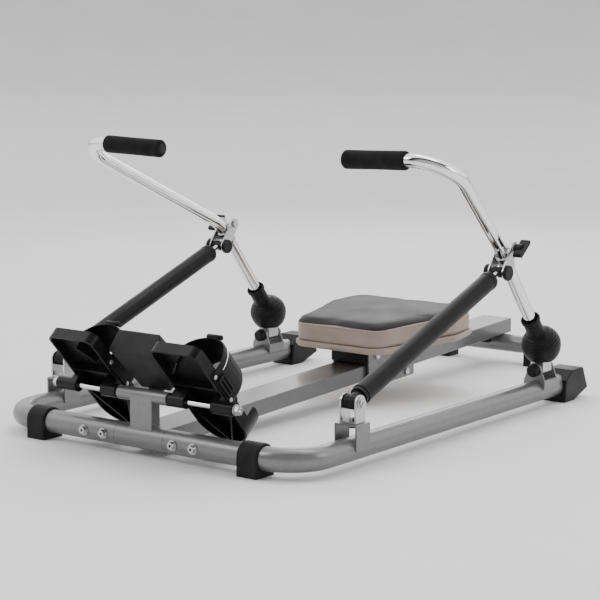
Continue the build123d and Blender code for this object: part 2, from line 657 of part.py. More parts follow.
with BuildPart() as seat_carriage:
    plate_top = SEAT_CLEAR - BOARD_T
    with BuildSketch(seat_plane(plate_top - PLATE_T, CARRIAGE_FORWARD)):
        Rectangle(2 * (PLATE_IN + PLATE_T), CARRIAGE_LENGTH)
    extrude(amount=PLATE_T)
    for plate_x in (PLATE_IN, -PLATE_IN - PLATE_T):
        with BuildSketch(carriage_across(plate_x)):
            with Locations((0, (plate_top - PLATE_LOW) / 2)):
                RectangleRounded(CARRIAGE_LENGTH, plate_top + PLATE_LOW, 5)
            with Locations((0, plate_top - 5)):
                Rectangle(CARRIAGE_LENGTH, 10)
        extrude(amount=PLATE_T)
    for axle_back in AXLE_STATIONS:
        carriage_bar(-2 * rail_half, 2 * rail_half, axle_back, TOP_AXLE, ROLLER_AXLE_R, Mode.SUBTRACT)
        carriage_bar(-2 * rail_half, 2 * rail_half, axle_back, LOW_AXLE, ROLLER_AXLE_R, Mode.SUBTRACT)
save(seat_carriage, "seat_carriage")

with BuildPart() as roller_axles:
    axle_end = PLATE_IN + PLATE_T
    for axle_back in AXLE_STATIONS:
        for axle_height in (TOP_AXLE, LOW_AXLE):
            carriage_bar(-axle_end, axle_end, axle_back, axle_height, ROLLER_AXLE_R)
            for head_x in (axle_end, -axle_end - 4):
                carriage_bar(head_x, head_x + 4, axle_back, axle_height, 6.5)
        carriage_bar(-PLATE_IN, PLATE_IN, axle_back, LOW_AXLE, KEEPER_R)
save(roller_axles, "roller_axles")

ROLLER_HALF = rail_half - 6.5
for place, axle_back in zip(("front", "rear"), AXLE_STATIONS):
    with BuildPart() as roller:
        carriage_bar(-ROLLER_HALF, ROLLER_HALF, axle_back, TOP_AXLE, ROLLER_R)
        chamfer(roller.edges(), 1.0)
        carriage_bar(-ROLLER_HALF, ROLLER_HALF, axle_back, TOP_AXLE, ROLLER_AXLE_R + RUN, Mode.SUBTRACT)
    save(roller, f"roller_{place}")

GUARD_LOW = 3.0                                # guards above the rail's top face
with BuildPart() as carriage_guards:
    for guard_back in (-CARRIAGE_LENGTH / 2 - GUARD_T, CARRIAGE_LENGTH / 2):
        with BuildSketch(carriage_across(-PLATE_IN - PLATE_T)):
            with Locations((guard_back + GUARD_T / 2, (GUARD_LOW + plate_top) / 2)):
                Rectangle(GUARD_T, plate_top - GUARD_LOW)
        extrude(amount=2 * (PLATE_IN + PLATE_T))
save(carriage_guards, "carriage_guards")

STOP_T = 16.0
STOP_HEIGHT = 14.0
FRONT_STOP = -CARRIAGE_LENGTH / 2 - GUARD_T - SEAT_FORWARD - GAP - STOP_T
REAR_STOP = ROLLER_PITCH / 2 + KEEPER_R + SEAT_BACK + GAP    # meets the rear keeper bar
with BuildPart() as rail_stops:
    for stop_back, stop_up in (
        (FRONT_STOP, STOP_HEIGHT / 2),
        (REAR_STOP, -RAIL_HEIGHT - STOP_HEIGHT / 2),
    ):
        with BuildSketch(carriage_across(-20)):
            with Locations((stop_back + STOP_T / 2, stop_up)):
                RectangleRounded(STOP_T, STOP_HEIGHT, 3)
        extrude(amount=40)
save(rail_stops, "rail_stops")

# ---------------------------------------------------------------- cylinder mounts
BRACKET_TOP = TUBE_Z + TUBE_R + 24.0
BRACKET_LENGTH = 40.0
LEG_IN = TUBE_R - 1.0
with BuildPart() as cylinder_bracket:
    bracket_y = BAR_Y + CYLINDER_Y
    with BuildSketch(facing(HALF, bracket_y - BRACKET_LENGTH / 2, 0)):
        with Locations((0, (TUBE_Z + BRACKET_TOP) / 2)):
            Rectangle(2 * (LEG_IN + PLATE_T), BRACKET_TOP - TUBE_Z)
        with Locations((0, (TUBE_Z + BRACKET_TOP) / 2 - PLATE_T)):
            Rectangle(2 * LEG_IN, BRACKET_TOP - TUBE_Z, mode=Mode.SUBTRACT)
    extrude(amount=BRACKET_LENGTH)
    rod_y(bracket_y - BRACKET_LENGTH, bracket_y + BRACKET_LENGTH, HALF, TUBE_Z, TUBE_R + 0.02, Mode.SUBTRACT)
    with BuildSketch(Plane(origin=(HALF, bracket_y, 0))):
        Circle(PIN_R)
    extrude(amount=2 * BRACKET_TOP, mode=Mode.SUBTRACT)
save_both(cylinder_bracket, "cylinder_brackets")

CLEVIS_BASE = BRACKET_TOP + 2 * GAP
CLEVIS_IN = CLEVIS_GAP / 2
EAR_R = 14.0
with BuildPart() as swivel_clevis:
    for ear_x in (HALF + CLEVIS_IN, HALF - CLEVIS_IN - PLATE_T):
        with BuildSketch(across(ear_x, LOWER_PIN.Y, 0)):
            with Locations((0, CYLINDER_Z)):
                Circle(EAR_R)
            with Locations((0, (CLEVIS_BASE + CYLINDER_Z) / 2)):
                Rectangle(2 * EAR_R, CYLINDER_Z - CLEVIS_BASE)
        extrude(amount=PLATE_T)
    with BuildSketch(Plane(origin=(HALF, LOWER_PIN.Y, CLEVIS_BASE))):
        Rectangle(2 * (CLEVIS_IN + PLATE_T), 2 * EAR_R)
    extrude(amount=PLATE_T)
    with BuildSketch(Plane(origin=(HALF, LOWER_PIN.Y, 0))):
        Circle(PIN_R + RUN)
    extrude(amount=2 * BRACKET_TOP, mode=Mode.SUBTRACT)
    bolt_end = CLEVIS_IN + PLATE_T
    rod_x(HALF - bolt_end, HALF + bolt_end + 8, LOWER_PIN.Y, CYLINDER_Z, PIN_R)
    rod_x(HALF - bolt_end - 5, HALF - bolt_end, LOWER_PIN.Y, CYLINDER_Z, 7.5)
    hex_x(HALF + bolt_end, HALF + bolt_end + 6.5, LOWER_PIN.Y, CYLINDER_Z, 7.8)
save_pair(swivel_clevis, "swivel_clevis")

BARREL_START = 26.0
BARREL_TOP = CYL_LENGTH - 32.0
FOOT_CAP_T = 10.0
with BuildPart() as cylinder_barrel:
    rod_between(LOWER_PIN, CYL_DIR, BARREL_START, BARREL_TOP, CYLINDER_R)
    chamfer(cylinder_barrel.edges(), 1.2)
    rod_between(LOWER_PIN, CYL_DIR, BARREL_START, BARREL_TOP, CYLINDER_R - CYLINDER_WALL, Mode.SUBTRACT)
save_pair(cylinder_barrel, "cylinder_barrel")

BLOCK_R = 12.0
with BuildPart() as cylinder_ends:
    rod_between(LOWER_PIN, CYL_DIR, BARREL_START - 6, BARREL_START, CYLINDER_R - 1)
    rod_between(LOWER_PIN, CYL_DIR, BARREL_START, BARREL_START + FOOT_CAP_T, CYLINDER_R - CYLINDER_WALL - 0.05)
    rod_between(LOWER_PIN, CYL_DIR, 4, BARREL_START - 5, BLOCK_R)
    rod_x(HALF - CLEVIS_IN + 1, HALF + CLEVIS_IN - 1, LOWER_PIN.Y, CYLINDER_Z, BLOCK_R)
    rod_x(HALF - EAR_R, HALF + EAR_R, LOWER_PIN.Y, CYLINDER_Z, PIN_R + RUN, Mode.SUBTRACT)
    rod_between(LOWER_PIN, CYL_DIR, BARREL_TOP - 14, BARREL_TOP, CYLINDER_R - CYLINDER_WALL - 0.05)
    rod_between(LOWER_PIN, CYL_DIR, BARREL_TOP, BARREL_TOP + 3, CYLINDER_R - 3)
    rod_between(LOWER_PIN, CYL_DIR, BARREL_TOP - 20, BARREL_TOP + 5, ROD_R + RUN, Mode.SUBTRACT)
save_pair(cylinder_ends, "cylinder_ends")

PISTON_S = 62.0                      # lower pin to the piston when closed
ROD_END_R = 10.0
ROD_END_HALF = CLEVIS_IN - SIDE_PLAY
with BuildPart() as piston_rod:
    rod_between(LOWER_PIN, CYL_DIR, PISTON_S, CYL_LENGTH - ROD_END_R + 1, ROD_R)
    rod_between(LOWER_PIN, CYL_DIR, PISTON_S, PISTON_S + 14, CYLINDER_R - CYLINDER_WALL - 0.2)
    rod_x(HALF - 20, HALF + 20, UPPER_PIN.Y, UPPER_PIN.Z, ROD_END_R + 0.02, Mode.SUBTRACT)
save_pair(piston_rod, "piston_rod")

with BuildPart() as rod_end:
    rod_x(HALF - ROD_END_HALF, HALF + ROD_END_HALF, UPPER_PIN.Y, UPPER_PIN.Z, ROD_END_R)
    chamfer(rod_end.edges(), 0.8)
save_pair(rod_end, "rod_end")

# ---------------------------------------------------------------- oar pivots
LATERAL_Z = TUBE_Z + TUBE_R + 21.0             # height of the sideways hinge
YOKE_HALF = 21.7                               # yoke along the sideways pin
EAR_Y = YOKE_HALF + GAP                        # inner faces of the bracket ears
pin_half = EAR_Y + PLATE_T
SADDLE_TOP = TUBE_Z + TUBE_R + PLATE_T
with BuildPart() as arm_bracket:
    with BuildSketch(facing(HALF, PIVOT[1] - pin_half, 0)):
        with Locations((0, (TUBE_Z + 6 + SADDLE_TOP) / 2)):
            Rectangle(46, SADDLE_TOP - TUBE_Z - 6)
    extrude(amount=2 * pin_half)
    for ear_y in (PIVOT[1] - pin_half, PIVOT[1] + EAR_Y):
        with BuildSketch(facing(HALF, ear_y, 0)):
            with Locations((0, LATERAL_Z)):
                Circle(14.0)
            with Locations((0, SADDLE_TOP - 1)):
                Rectangle(44, 2)
            make_hull()
        extrude(amount=PLATE_T)
    rod_y(PIVOT[1] - 60, PIVOT[1] + 60, HALF, TUBE_Z, TUBE_R + 0.02, Mode.SUBTRACT)
    rod_y(PIVOT[1] - 60, PIVOT[1] + 60, HALF, LATERAL_Z, PIVOT_R, Mode.SUBTRACT)
save_both(arm_bracket, "arm_brackets")

with BuildPart() as pivot_pins:
    rod_y(PIVOT[1] - pin_half, PIVOT[1] + pin_half, HALF, LATERAL_Z, PIVOT_R)
    with BuildSketch(Plane(origin=(HALF, LOWER_PIN.Y, BRACKET_TOP - PLATE_T - 6))):
        RegularPolygon(7.8, 6)
    extrude(amount=6)
    with BuildSketch(Plane(origin=(HALF, LOWER_PIN.Y, BRACKET_TOP - PLATE_T))):
        Circle(PIN_R)
    extrude(amount=2 * PLATE_T + 3 * GAP + 6)
    with BuildSketch(Plane(origin=(HALF, LOWER_PIN.Y, CLEVIS_BASE + PLATE_T + GAP))):
        RegularPolygon(7.0, 6)
    extrude(amount=4)
save_both(pivot_pins, "pivot_pins")

PIN_CAP_R = 12.5
with BuildPart() as pin_caps:
    rod_y(PIVOT[1] - pin_half - 12, PIVOT[1] - pin_half, HALF, LATERAL_Z, PIN_CAP_R)
    rod_y(PIVOT[1] + pin_half, PIVOT[1] + pin_half + 5, HALF, LATERAL_Z, PIN_CAP_R)
    fillet(pin_caps.faces().sort_by(Axis.Y)[0].edges(), 5)
    fillet(pin_caps.faces().sort_by(Axis.Y)[-1].edges(), 2)
save_both(pin_caps, "pivot_caps")

CHEEK_IN = 10.0                      # inner face of a yoke cheek, from the oar plane
CHEEK_T = 4.0
with BuildPart() as yoke:
    rod_y(PIVOT[1] - YOKE_HALF, PIVOT[1] + YOKE_HALF, HALF, LATERAL_Z, 12.0)
    for cheek_x in (HALF + CHEEK_IN, HALF - CHEEK_IN - CHEEK_T):
        with BuildSketch(across(cheek_x, PIVOT[1], 0)):
            with Locations((0, ARM_Z)):
                Circle(13)
            with Locations((0, LATERAL_Z)):
                Rectangle(32, 8)
            make_hull()
        extrude(amount=CHEEK_T)
    with BuildSketch(Plane(origin=(HALF, PIVOT[1], LATERAL_Z + 4))):
        Rectangle(2 * (CHEEK_IN + CHEEK_T), 32)
    extrude(amount=10)
    rod_y(PIVOT[1] - YOKE_HALF - 1, PIVOT[1] + YOKE_HALF + 1, HALF, LATERAL_Z, PIVOT_R + RUN, Mode.SUBTRACT)
    rod_x(HALF - CHEEK_IN - CHEEK_T, HALF + CHEEK_IN + CHEEK_T, PIVOT[1], ARM_Z, PIVOT_R)
save_pair(yoke, "yoke")

with BuildPart() as boot:
    with BuildSketch(Plane(origin=PIVOT, x_dir=(1, 0, 0), z_dir=(0, -1, 0))):
        Circle(BOOT_R)
        with Locations((0, 0)):
            Rectangle(2 * BOOT_R, 4 * BOOT_R, align=(Align.MAX, Align.CENTER), mode=Mode.SUBTRACT)
    revolve(axis=Axis(PIVOT, (0, 0, 1)))
    rod_between(PIVOT, OAR_DIR, BOOT_R - 6, BOOT_NECK_END, BOOT_NECK_R)
    with BuildSketch(Plane(origin=PIVOT, x_dir=(1, 0, 0), z_dir=(0, -1, 0))):
        Circle(BOOT_R - BOOT_WALL)
        with Locations((0, 0)):
            Rectangle(2 * BOOT_R, 4 * BOOT_R, align=(Align.MAX, Align.CENTER), mode=Mode.SUBTRACT)
    revolve(axis=Axis(PIVOT, (0, 0, 1)), mode=Mode.SUBTRACT)
    rod_between(PIVOT, OAR_DIR, 10, BOOT_NECK_END + 5, OAR_R + 0.02, Mode.SUBTRACT)
    with BuildSketch(Plane(origin=(HALF, PIVOT[1], 0))):
        Circle(22)
    extrude(amount=ARM_Z, mode=Mode.SUBTRACT)
save_pair(boot, "boot")

# ---------------------------------------------------------------- oars
EYE_R = 13.0
TUBE_START = 16.0                    # oar pivot to the lower end of the tube
hand_corner = Vector(HAND_X, BAR_Y + HAND_Y, HAND_Z)
grip_end = Vector(GRIP_END_X, BAR_Y + HAND_Y + GRIP_BACK, HAND_Z - GRIP_DROP)
grip_dir = (grip_end - hand_corner).normalized()
with BuildPart() as oar_tube:
    with BuildLine() as oar_path:
        FilletPolyline(
            along(PIVOT, (OAR_DIR, TUBE_START)),
            OAR_BEND,
            hand_corner,
            grip_end,
            radius=[OAR_BEND_R, HAND_BEND_R],
        )
    with BuildSketch(Plane(origin=oar_path.line @ 0, z_dir=oar_path.line % 0)):
        Circle(OAR_R)
        Circle(OAR_R - OAR_WALL, mode=Mode.SUBTRACT)
    sweep()
    rod_x(HALF - CHEEK_IN + 1, HALF + CHEEK_IN - 1, PIVOT[1], ARM_Z, EYE_R)
    rod_between(PIVOT, OAR_DIR, 4, TUBE_START, OAR_R - 4)
    rod_between(PIVOT, OAR_DIR, TUBE_START, TUBE_START + 4, OAR_R)
    rod_x(HALF - 20, HALF + 20, PIVOT[1], ARM_Z, PIVOT_R + RUN, Mode.SUBTRACT)
save_pair(oar_tube, "oar_tube")

with BuildPart() as grip:
    rod_between(grip_end, grip_dir, 4, -GRIP_LENGTH, GRIP_R)
    fillet(grip.edges(), 2.5)
    rod_between(grip_end, grip_dir, 0, -GRIP_LENGTH - 5, OAR_R + 0.02, Mode.SUBTRACT)
save_pair(grip, "grip")

# ---------------------------------------------------------------- oar clamps
COLLAR = (CLAMP_S - 14, CLAMP_S + 14)
CLAMP_EAR_R = 12.0


def clamp_cheek(x0):
    """One cheek of the clamp: round at the pin and the bolt, joined by a web."""
    plane = Plane(origin=(x0, PIVOT[1], ARM_Z), x_dir=OAR_BACK, z_dir=(1, 0, 0))
    pin_at = (-CLAMP_PIN_OFFSET, CLAMP_S)
    bolt_at = (CLAMP_BOLT_OFFSET, CLAMP_BOLT_S)
    with BuildSketch(plane) as section:
        with Locations(pin_at, bolt_at):
            Circle(CLAMP_EAR_R)
        make_hull()
    extrude(section.sketch, amount=PLATE_T)


with BuildPart() as clamp:
    clamp_cheek(HALF + CLEVIS_IN)
    clamp_cheek(HALF - CLEVIS_IN - PLATE_T)
    rod_between(PIVOT, OAR_DIR, *COLLAR, CLAMP_COLLAR_R)
    rod_between(PIVOT, OAR_DIR, COLLAR[0] - 5, COLLAR[1] + 5, OAR_R + 0.02, Mode.SUBTRACT)
    rod_x(HALF - 25, HALF + 25, CLAMP_BOLT.Y, CLAMP_BOLT.Z, PIN_R, Mode.SUBTRACT)
save_pair(clamp, "clamp")

CAP_R = 14.5
CAP_T = 8.0
cheek_out = CLEVIS_IN + PLATE_T
with BuildPart() as clamp_caps:
    for cap_x in (HALF + cheek_out, HALF - cheek_out - CAP_T):
        rod_x(cap_x, cap_x + CAP_T, UPPER_PIN.Y, UPPER_PIN.Z, CAP_R)
    fillet(clamp_caps.edges().filter_by(GeomType.CIRCLE), 2.0)
save_pair(clamp_caps, "clamp_caps")

KNOB_GAP = 1.0
with BuildPart() as clamp_bolt:
    rod_x(HALF - cheek_out, HALF + cheek_out + 14, CLAMP_BOLT.Y, CLAMP_BOLT.Z, PIN_R)
    hex_x(HALF - cheek_out - 5, HALF - cheek_out, CLAMP_BOLT.Y, CLAMP_BOLT.Z, 7.8)
save_pair(clamp_bolt, "clamp_bolt")

WING_LENGTH = 44.0
with BuildPart() as wing_knob:
    knob_x = HALF + cheek_out + KNOB_GAP
    rod_x(knob_x, knob_x + 16, CLAMP_BOLT.Y, CLAMP_BOLT.Z, 8.5)
    wing_plane = Plane(
        origin=(knob_x + 5, CLAMP_BOLT.Y, CLAMP_BOLT.Z), x_dir=OAR_BACK, z_dir=(1, 0, 0)
    )
    with BuildSketch(wing_plane):
        SlotOverall(WING_LENGTH, 9)
    extrude(amount=17)
    rod_x(knob_x, HALF + cheek_out + 14 + GAP, CLAMP_BOLT.Y, CLAMP_BOLT.Z, PIN_R + RUN, Mode.SUBTRACT)
save_pair(wing_knob, "wing_knob")
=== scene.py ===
"""The looks of the rowing machine: finishes, soft parts, small fittings, light and camera.

Everything is in metres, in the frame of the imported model: +Y runs from the pedals to
the back of the machine, +Z is up, and the right-hand side is +X.
"""
import json
import math

import bmesh
import bpy
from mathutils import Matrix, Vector
from mathutils.bvhtree import BVHTree


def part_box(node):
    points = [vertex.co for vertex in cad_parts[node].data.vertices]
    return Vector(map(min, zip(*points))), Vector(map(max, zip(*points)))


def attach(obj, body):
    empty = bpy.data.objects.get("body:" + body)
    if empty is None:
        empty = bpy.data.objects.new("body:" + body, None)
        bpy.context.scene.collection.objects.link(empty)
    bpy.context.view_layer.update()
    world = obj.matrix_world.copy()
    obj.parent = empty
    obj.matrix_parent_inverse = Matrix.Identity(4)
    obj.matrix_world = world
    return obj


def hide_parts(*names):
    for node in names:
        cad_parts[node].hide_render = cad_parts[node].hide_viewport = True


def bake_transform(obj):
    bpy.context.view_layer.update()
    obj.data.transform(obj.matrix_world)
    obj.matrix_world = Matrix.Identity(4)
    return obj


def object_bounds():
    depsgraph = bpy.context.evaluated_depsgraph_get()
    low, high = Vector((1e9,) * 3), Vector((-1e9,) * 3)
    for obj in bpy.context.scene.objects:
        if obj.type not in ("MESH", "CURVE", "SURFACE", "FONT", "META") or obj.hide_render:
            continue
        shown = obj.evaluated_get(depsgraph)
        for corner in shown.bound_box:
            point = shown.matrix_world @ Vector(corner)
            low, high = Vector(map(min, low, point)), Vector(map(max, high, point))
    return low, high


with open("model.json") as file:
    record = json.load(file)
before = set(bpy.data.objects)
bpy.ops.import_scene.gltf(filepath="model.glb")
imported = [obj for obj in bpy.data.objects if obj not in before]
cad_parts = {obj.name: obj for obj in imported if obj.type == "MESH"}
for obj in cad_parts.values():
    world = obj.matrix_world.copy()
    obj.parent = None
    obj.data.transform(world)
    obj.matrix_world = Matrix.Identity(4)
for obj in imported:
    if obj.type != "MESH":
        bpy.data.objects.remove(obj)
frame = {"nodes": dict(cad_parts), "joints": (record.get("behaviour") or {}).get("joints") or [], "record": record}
CAD_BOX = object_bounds()
NODES = frame["nodes"]
JOINTS = {joint["name"]: joint for joint in frame["joints"]}
SIDES = (("right", 1), ("left", -1))
X, Y, Z = Vector((1, 0, 0)), Vector((0, 1, 0)), Vector((0, 0, 1))


# ---------------------------------------------------------------- places from the frame
def joint_at(name):
    """Where a hinge stands at rest."""
    return Vector(JOINTS[name]["pos_m"])


def middle(node):
    """Centre of a CAD node's box."""
    low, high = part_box(node)
    return (low + high) / 2


PEDAL_TILT = math.radians(48)        # footplate above the horizontal
TOE = Vector((0, -math.cos(PEDAL_TILT), math.sin(PEDAL_TILT)))
SOLE = Vector((0, math.sin(PEDAL_TILT), math.cos(PEDAL_TILT)))
OAR_LEAN = math.radians(38.2)        # lower part of an oar from the vertical
OAR = Vector((0, -math.sin(OAR_LEAN), math.cos(OAR_LEAN)))
RAIL = Vector(JOINTS["seat_slide"]["axis"]).normalized()
RAIL_UP = X.cross(RAIL)


# ---------------------------------------------------------------- finishes
def finish_of(name, colour, rough, metal=0.0, coat=0.0, sheen=0.0, specular=0.5):
    """A new material; constant values go on the shader's own sockets."""
    mat = bpy.data.materials.new(name)
    mat.use_nodes = True
    bsdf = mat.node_tree.nodes["Principled BSDF"]
    bsdf.inputs["Base Color"].default_value = (*colour, 1)
    bsdf.inputs["Roughness"].default_value = rough
    bsdf.inputs["Metallic"].default_value = metal
    bsdf.inputs["Coat Weight"].default_value = coat
    bsdf.inputs["Coat Roughness"].default_value = 0.12
    bsdf.inputs["Sheen Weight"].default_value = sheen
    bsdf.inputs["Specular IOR Level"].default_value = specular
    return mat


def node(mat, kind, **settings):
    """Add a shader node; settings name its input sockets with spaces as underscores."""
    made = mat.node_tree.nodes.new(kind)
    for key, value in settings.items():
        made.inputs[key.replace("_", " ")].default_value = value
    return made


def link(mat, a, out, b, into):
    """Join an output socket to an input socket."""
    mat.node_tree.links.new(a.outputs[out], b.inputs[into])


def texture(mat, kind, scale, detail=4.0, stretch=(1, 1, 1)):
    """Noise or cells on the object's own coordinates; returns (node, output name)."""
    where = mat.node_tree.nodes.new("ShaderNodeTexCoord")
    mapping = mat.node_tree.nodes.new("ShaderNodeMapping")
    mapping.inputs["Scale"].default_value = stretch
    link(mat, where, "Object", mapping, "Vector")
    if kind == "noise":
        tex, out = node(mat, "ShaderNodeTexNoise", Scale=scale, Detail=detail), "Fac"
    else:
        tex, out = node(mat, "ShaderNodeTexVoronoi", Scale=scale), "Distance"
    link(mat, mapping, "Vector", tex, "Vector")
    return tex, out


def mottle(mat, scale, dark, light, stretch=(1, 1, 1), spread=(0.35, 0.65)):
    """Vary the base colour between two near tones."""
    tex, out = texture(mat, "noise", scale, 6.0, stretch)
    ramp = mat.node_tree.nodes.new("ShaderNodeValToRGB")
    ramp.color_ramp.elements[0].position = spread[0]
    ramp.color_ramp.elements[0].color = (*dark, 1)
    ramp.color_ramp.elements[1].position = spread[1]
    ramp.color_ramp.elements[1].color = (*light, 1)
    link(mat, tex, out, ramp, "Fac")
    link(mat, ramp, "Color", mat.node_tree.nodes["Principled BSDF"], "Base Color")
    return ramp


def smudge(mat, scale, low, high):
    """Vary the roughness, as handling and wear do."""
    tex, out = texture(mat, "noise", scale, 5.0)
    span = node(mat, "ShaderNodeMapRange", From_Min=0.3, From_Max=0.7, To_Min=low, To_Max=high)
    link(mat, tex, out, span, "Value")
    link(mat, span, "Result", mat.node_tree.nodes["Principled BSDF"], "Roughness")


def grain(mat, *layers):
    """Stack bumps: each layer is (texture kind, scale, strength, height in metres)."""
    before = None
    for kind, scale, strength, height in layers:
        tex, out = texture(mat, kind, scale)
        bump = node(mat, "ShaderNodeBump", Strength=strength, Distance=height)
        link(mat, tex, out, bump, "Height")
        if before:
            link(mat, before, "Normal", bump, "Normal")
        before = bump
    link(mat, before, "Normal", mat.node_tree.nodes["Principled BSDF"], "Normal")


def paint(name, tone, rough):
    """Silver-grey powder coat with fine flake, soft orange peel and handling marks."""
    mat = finish_of(name, (tone, tone, tone * 1.02), rough, metal=0.5, coat=0.2)
    mottle(mat, 90, (tone * 0.95,) * 3, (tone * 1.04, tone * 1.04, tone * 1.06))
    smudge(mat, 14, rough - 0.02, rough + 0.05)
    grain(mat, ("noise", 650, 0.10, 0.0004), ("noise", 2600, 0.12, 0.0001))
    return mat


def moulded(name, tone, rough, relief=0.25):
    """Injection-moulded plastic with a fine spark-eroded grain."""
    mat = finish_of(name, (tone, tone, tone), rough, specular=0.20)
    mottle(mat, 35, (tone * 0.8,) * 3, (tone * 1.3,) * 3)
    smudge(mat, 22, rough - 0.07, rough + 0.10)
    grain(mat, ("cells", 1500, relief, 0.0002), ("noise", 420, 0.10, 0.0005))
    return mat


def rubbery(name, tone, rough, scale, relief):
    """Matt rubber or foam with open pores."""
    mat = finish_of(name, (tone, tone, tone), rough, sheen=0.03, specular=0.15)
    mottle(mat, 60, (tone * 0.7,) * 3, (tone * 1.5,) * 3)
    smudge(mat, 30, rough - 0.10, min(rough + 0.06, 1.0))
    grain(mat, ("cells", scale, relief, 0.0005), ("noise", scale * 0.4, 0.3, 0.0006))
    return mat


def polished(name, tone, rough, brushed=False):
    """Bright plated steel, with faint polishing or drawing marks."""
    mat = finish_of(name, (tone, tone, tone * 1.01), rough, metal=1.0)
    mottle(mat, 25, (tone * 0.93,) * 3, (tone,) * 3)
    smudge(mat, 18, rough * 0.6, rough * 1.6)
    if brushed:
        grain(mat, ("noise", 900, 0.18, 0.0003), ("cells", 300, 0.08, 0.0004))
    else:
        grain(mat, ("noise", 60, 0.03, 0.0006))
    return mat


def plywood():
    """Birch board with long grain."""
    mat = finish_of("board", (0.42, 0.30, 0.18), 0.7)
    mottle(mat, 30, (0.33, 0.22, 0.12), (0.52, 0.38, 0.24), stretch=(1, 9, 9))
    grain(mat, ("noise", 260, 0.3, 0.0006))
    return mat


def vinyl():
    """Two-tone upholstery: the mask 'panel' is above zero on the top panel."""
    mat = finish_of("seat_vinyl", (0.3, 0.3, 0.3), 0.5, specular=0.22)
    top = mottle(mat, 28, (0.020, 0.0185, 0.019), (0.025, 0.023, 0.0235))
    tex, out = texture(mat, "noise", 20, 5.0)
    side = mat.node_tree.nodes.new("ShaderNodeValToRGB")
    side.color_ramp.elements[0].position = 0.3
    side.color_ramp.elements[0].color = (0.34, 0.265, 0.22, 1)
    side.color_ramp.elements[1].position = 0.7
    side.color_ramp.elements[1].color = (0.41, 0.325, 0.275, 1)
    link(mat, tex, out, side, "Fac")
    mask = mat.node_tree.nodes.new("ShaderNodeAttribute")
    mask.attribute_name = "panel"
    edge = node(mat, "ShaderNodeMapRange", From_Min=-0.0002, From_Max=0.0002)
    link(mat, mask, "Fac", edge, "Value")
    blend = mat.node_tree.nodes.new("ShaderNodeMix")
    blend.data_type = "RGBA"
    link(mat, edge, "Result", blend, "Factor")
    mat.node_tree.links.new(side.outputs["Color"], blend.inputs["A"])
    mat.node_tree.links.new(top.outputs["Color"], blend.inputs["B"])
    bsdf = mat.node_tree.nodes["Principled BSDF"]
    mat.node_tree.links.new(blend.outputs["Result"], bsdf.inputs["Base Color"])
    smudge(mat, 16, 0.46, 0.54)
    grain(
        mat,
        ("cells", 620, 0.30, 0.0005),
        ("noise", 1500, 0.15, 0.0002),
        ("noise", 24, 0.06, 0.002),
    )
    return mat


PAINT = paint("frame_paint", 0.19, 0.33)
RAIL_PAINT = paint("rail_paint", 0.15, 0.30)
ZINC = polished("zinc", 0.55, 0.26, brushed=True)
CHROME = polished("chrome", 0.88, 0.06)
BLACK = moulded("black_plastic", 0.008, 0.42)
PEDAL = moulded("pedal_plastic", 0.006, 0.32, relief=0.12)
CONSOLE = moulded("console_grey", 0.022, 0.38, relief=0.2)
BUTTON = moulded("button", 0.10, 0.38)
RUBBER = rubbery("rubber", 0.009, 0.60, 900, 0.15)
STRAP = rubbery("strap", 0.007, 0.46, 1400, 0.12)
BOOT = rubbery("boot", 0.006, 0.42, 1300, 0.10)
FOAM = rubbery("foam", 0.009, 0.92, 750, 0.8)
SLEEVE = rubbery("black_paint", 0.0045, 0.40, 1200, 0.12)
BOARD = plywood()
VINYL = vinyl()
PIPING = finish_of("piping", (0.40, 0.32, 0.27), 0.40)
mottle(PIPING, 40, (0.36, 0.285, 0.24), (0.44, 0.35, 0.30))
grain(PIPING, ("cells", 700, 0.25, 0.0004))
WINDOW = finish_of("screen", (0.20, 0.23, 0.19), 0.12, coat=0.6)
mottle(WINDOW, 15, (0.17, 0.20, 0.16), (0.22, 0.25, 0.20))
grain(WINDOW, ("noise", 300, 0.05, 0.0002))
DIGITS = finish_of("digits", (0.03, 0.035, 0.03), 0.3)
mottle(DIGITS, 90, (0.025, 0.03, 0.025), (0.04, 0.045, 0.04))

FINISHES = {
    "frame_paint": PAINT,
    "rail_paint": RAIL_PAINT,
    "zinc": ZINC,
    "chrome": CHROME,
    "black_plastic": BLACK,
    "pedal_plastic": PEDAL,
    "console_grey": CONSOLE,
    "button": BUTTON,
    "screen": WINDOW,
    "rubber": RUBBER,
    "strap": STRAP,
    "foam": FOAM,
    "black_paint": SLEEVE,
    "board": BOARD,
    "seat_vinyl": VINYL,
}
for entry in frame["record"]["subparts"]:
    cad = NODES[entry["node"]]
    cad.data.materials.clear()
    cad.data.materials.append(FINISHES[entry["material_slot"]])


# ---------------------------------------------------------------- mesh helpers
def piece(name, verts, faces, mat, body, smooth=True):
    """A mesh object that rides on a body and takes a material slot."""
    data = bpy.data.meshes.new(name)
    data.from_pydata([tuple(v) for v in verts], [], faces)
    data.update()
    obj = bpy.data.objects.new(name, data)
    bpy.context.scene.collection.objects.link(obj)
    fix = bmesh.new()
    fix.from_mesh(data)
    bmesh.ops.remove_doubles(fix, verts=fix.verts, dist=1e-6)
    bmesh.ops.recalc_face_normals(fix, faces=fix.faces)
    fix.to_mesh(data)
    fix.free()
    data.materials.append(mat)
    for face in data.polygons:
        face.use_smooth = smooth
    if body:
        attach(obj, body)
    return obj


def loft(name, rings, mat, body, closed=False, caps=True, smooth=True):
    """Skin a list of equal rings of points."""
    count = len(rings[0])
    verts = [p for ring in rings for p in ring]
    faces = []
    last = len(rings) if closed else len(rings) - 1
    for i in range(last):
        a, b = i * count, ((i + 1) % len(rings)) * count
        for j in range(count):
            k = (j + 1) % count
            faces.append((a + j, a + k, b + k, b + j))
    if caps and not closed:
        faces.append(tuple(range(count)))
        faces.append(tuple(range((len(rings) - 1) * count, len(rings) * count)))
    return piece(name, verts, faces, mat, body, smooth)


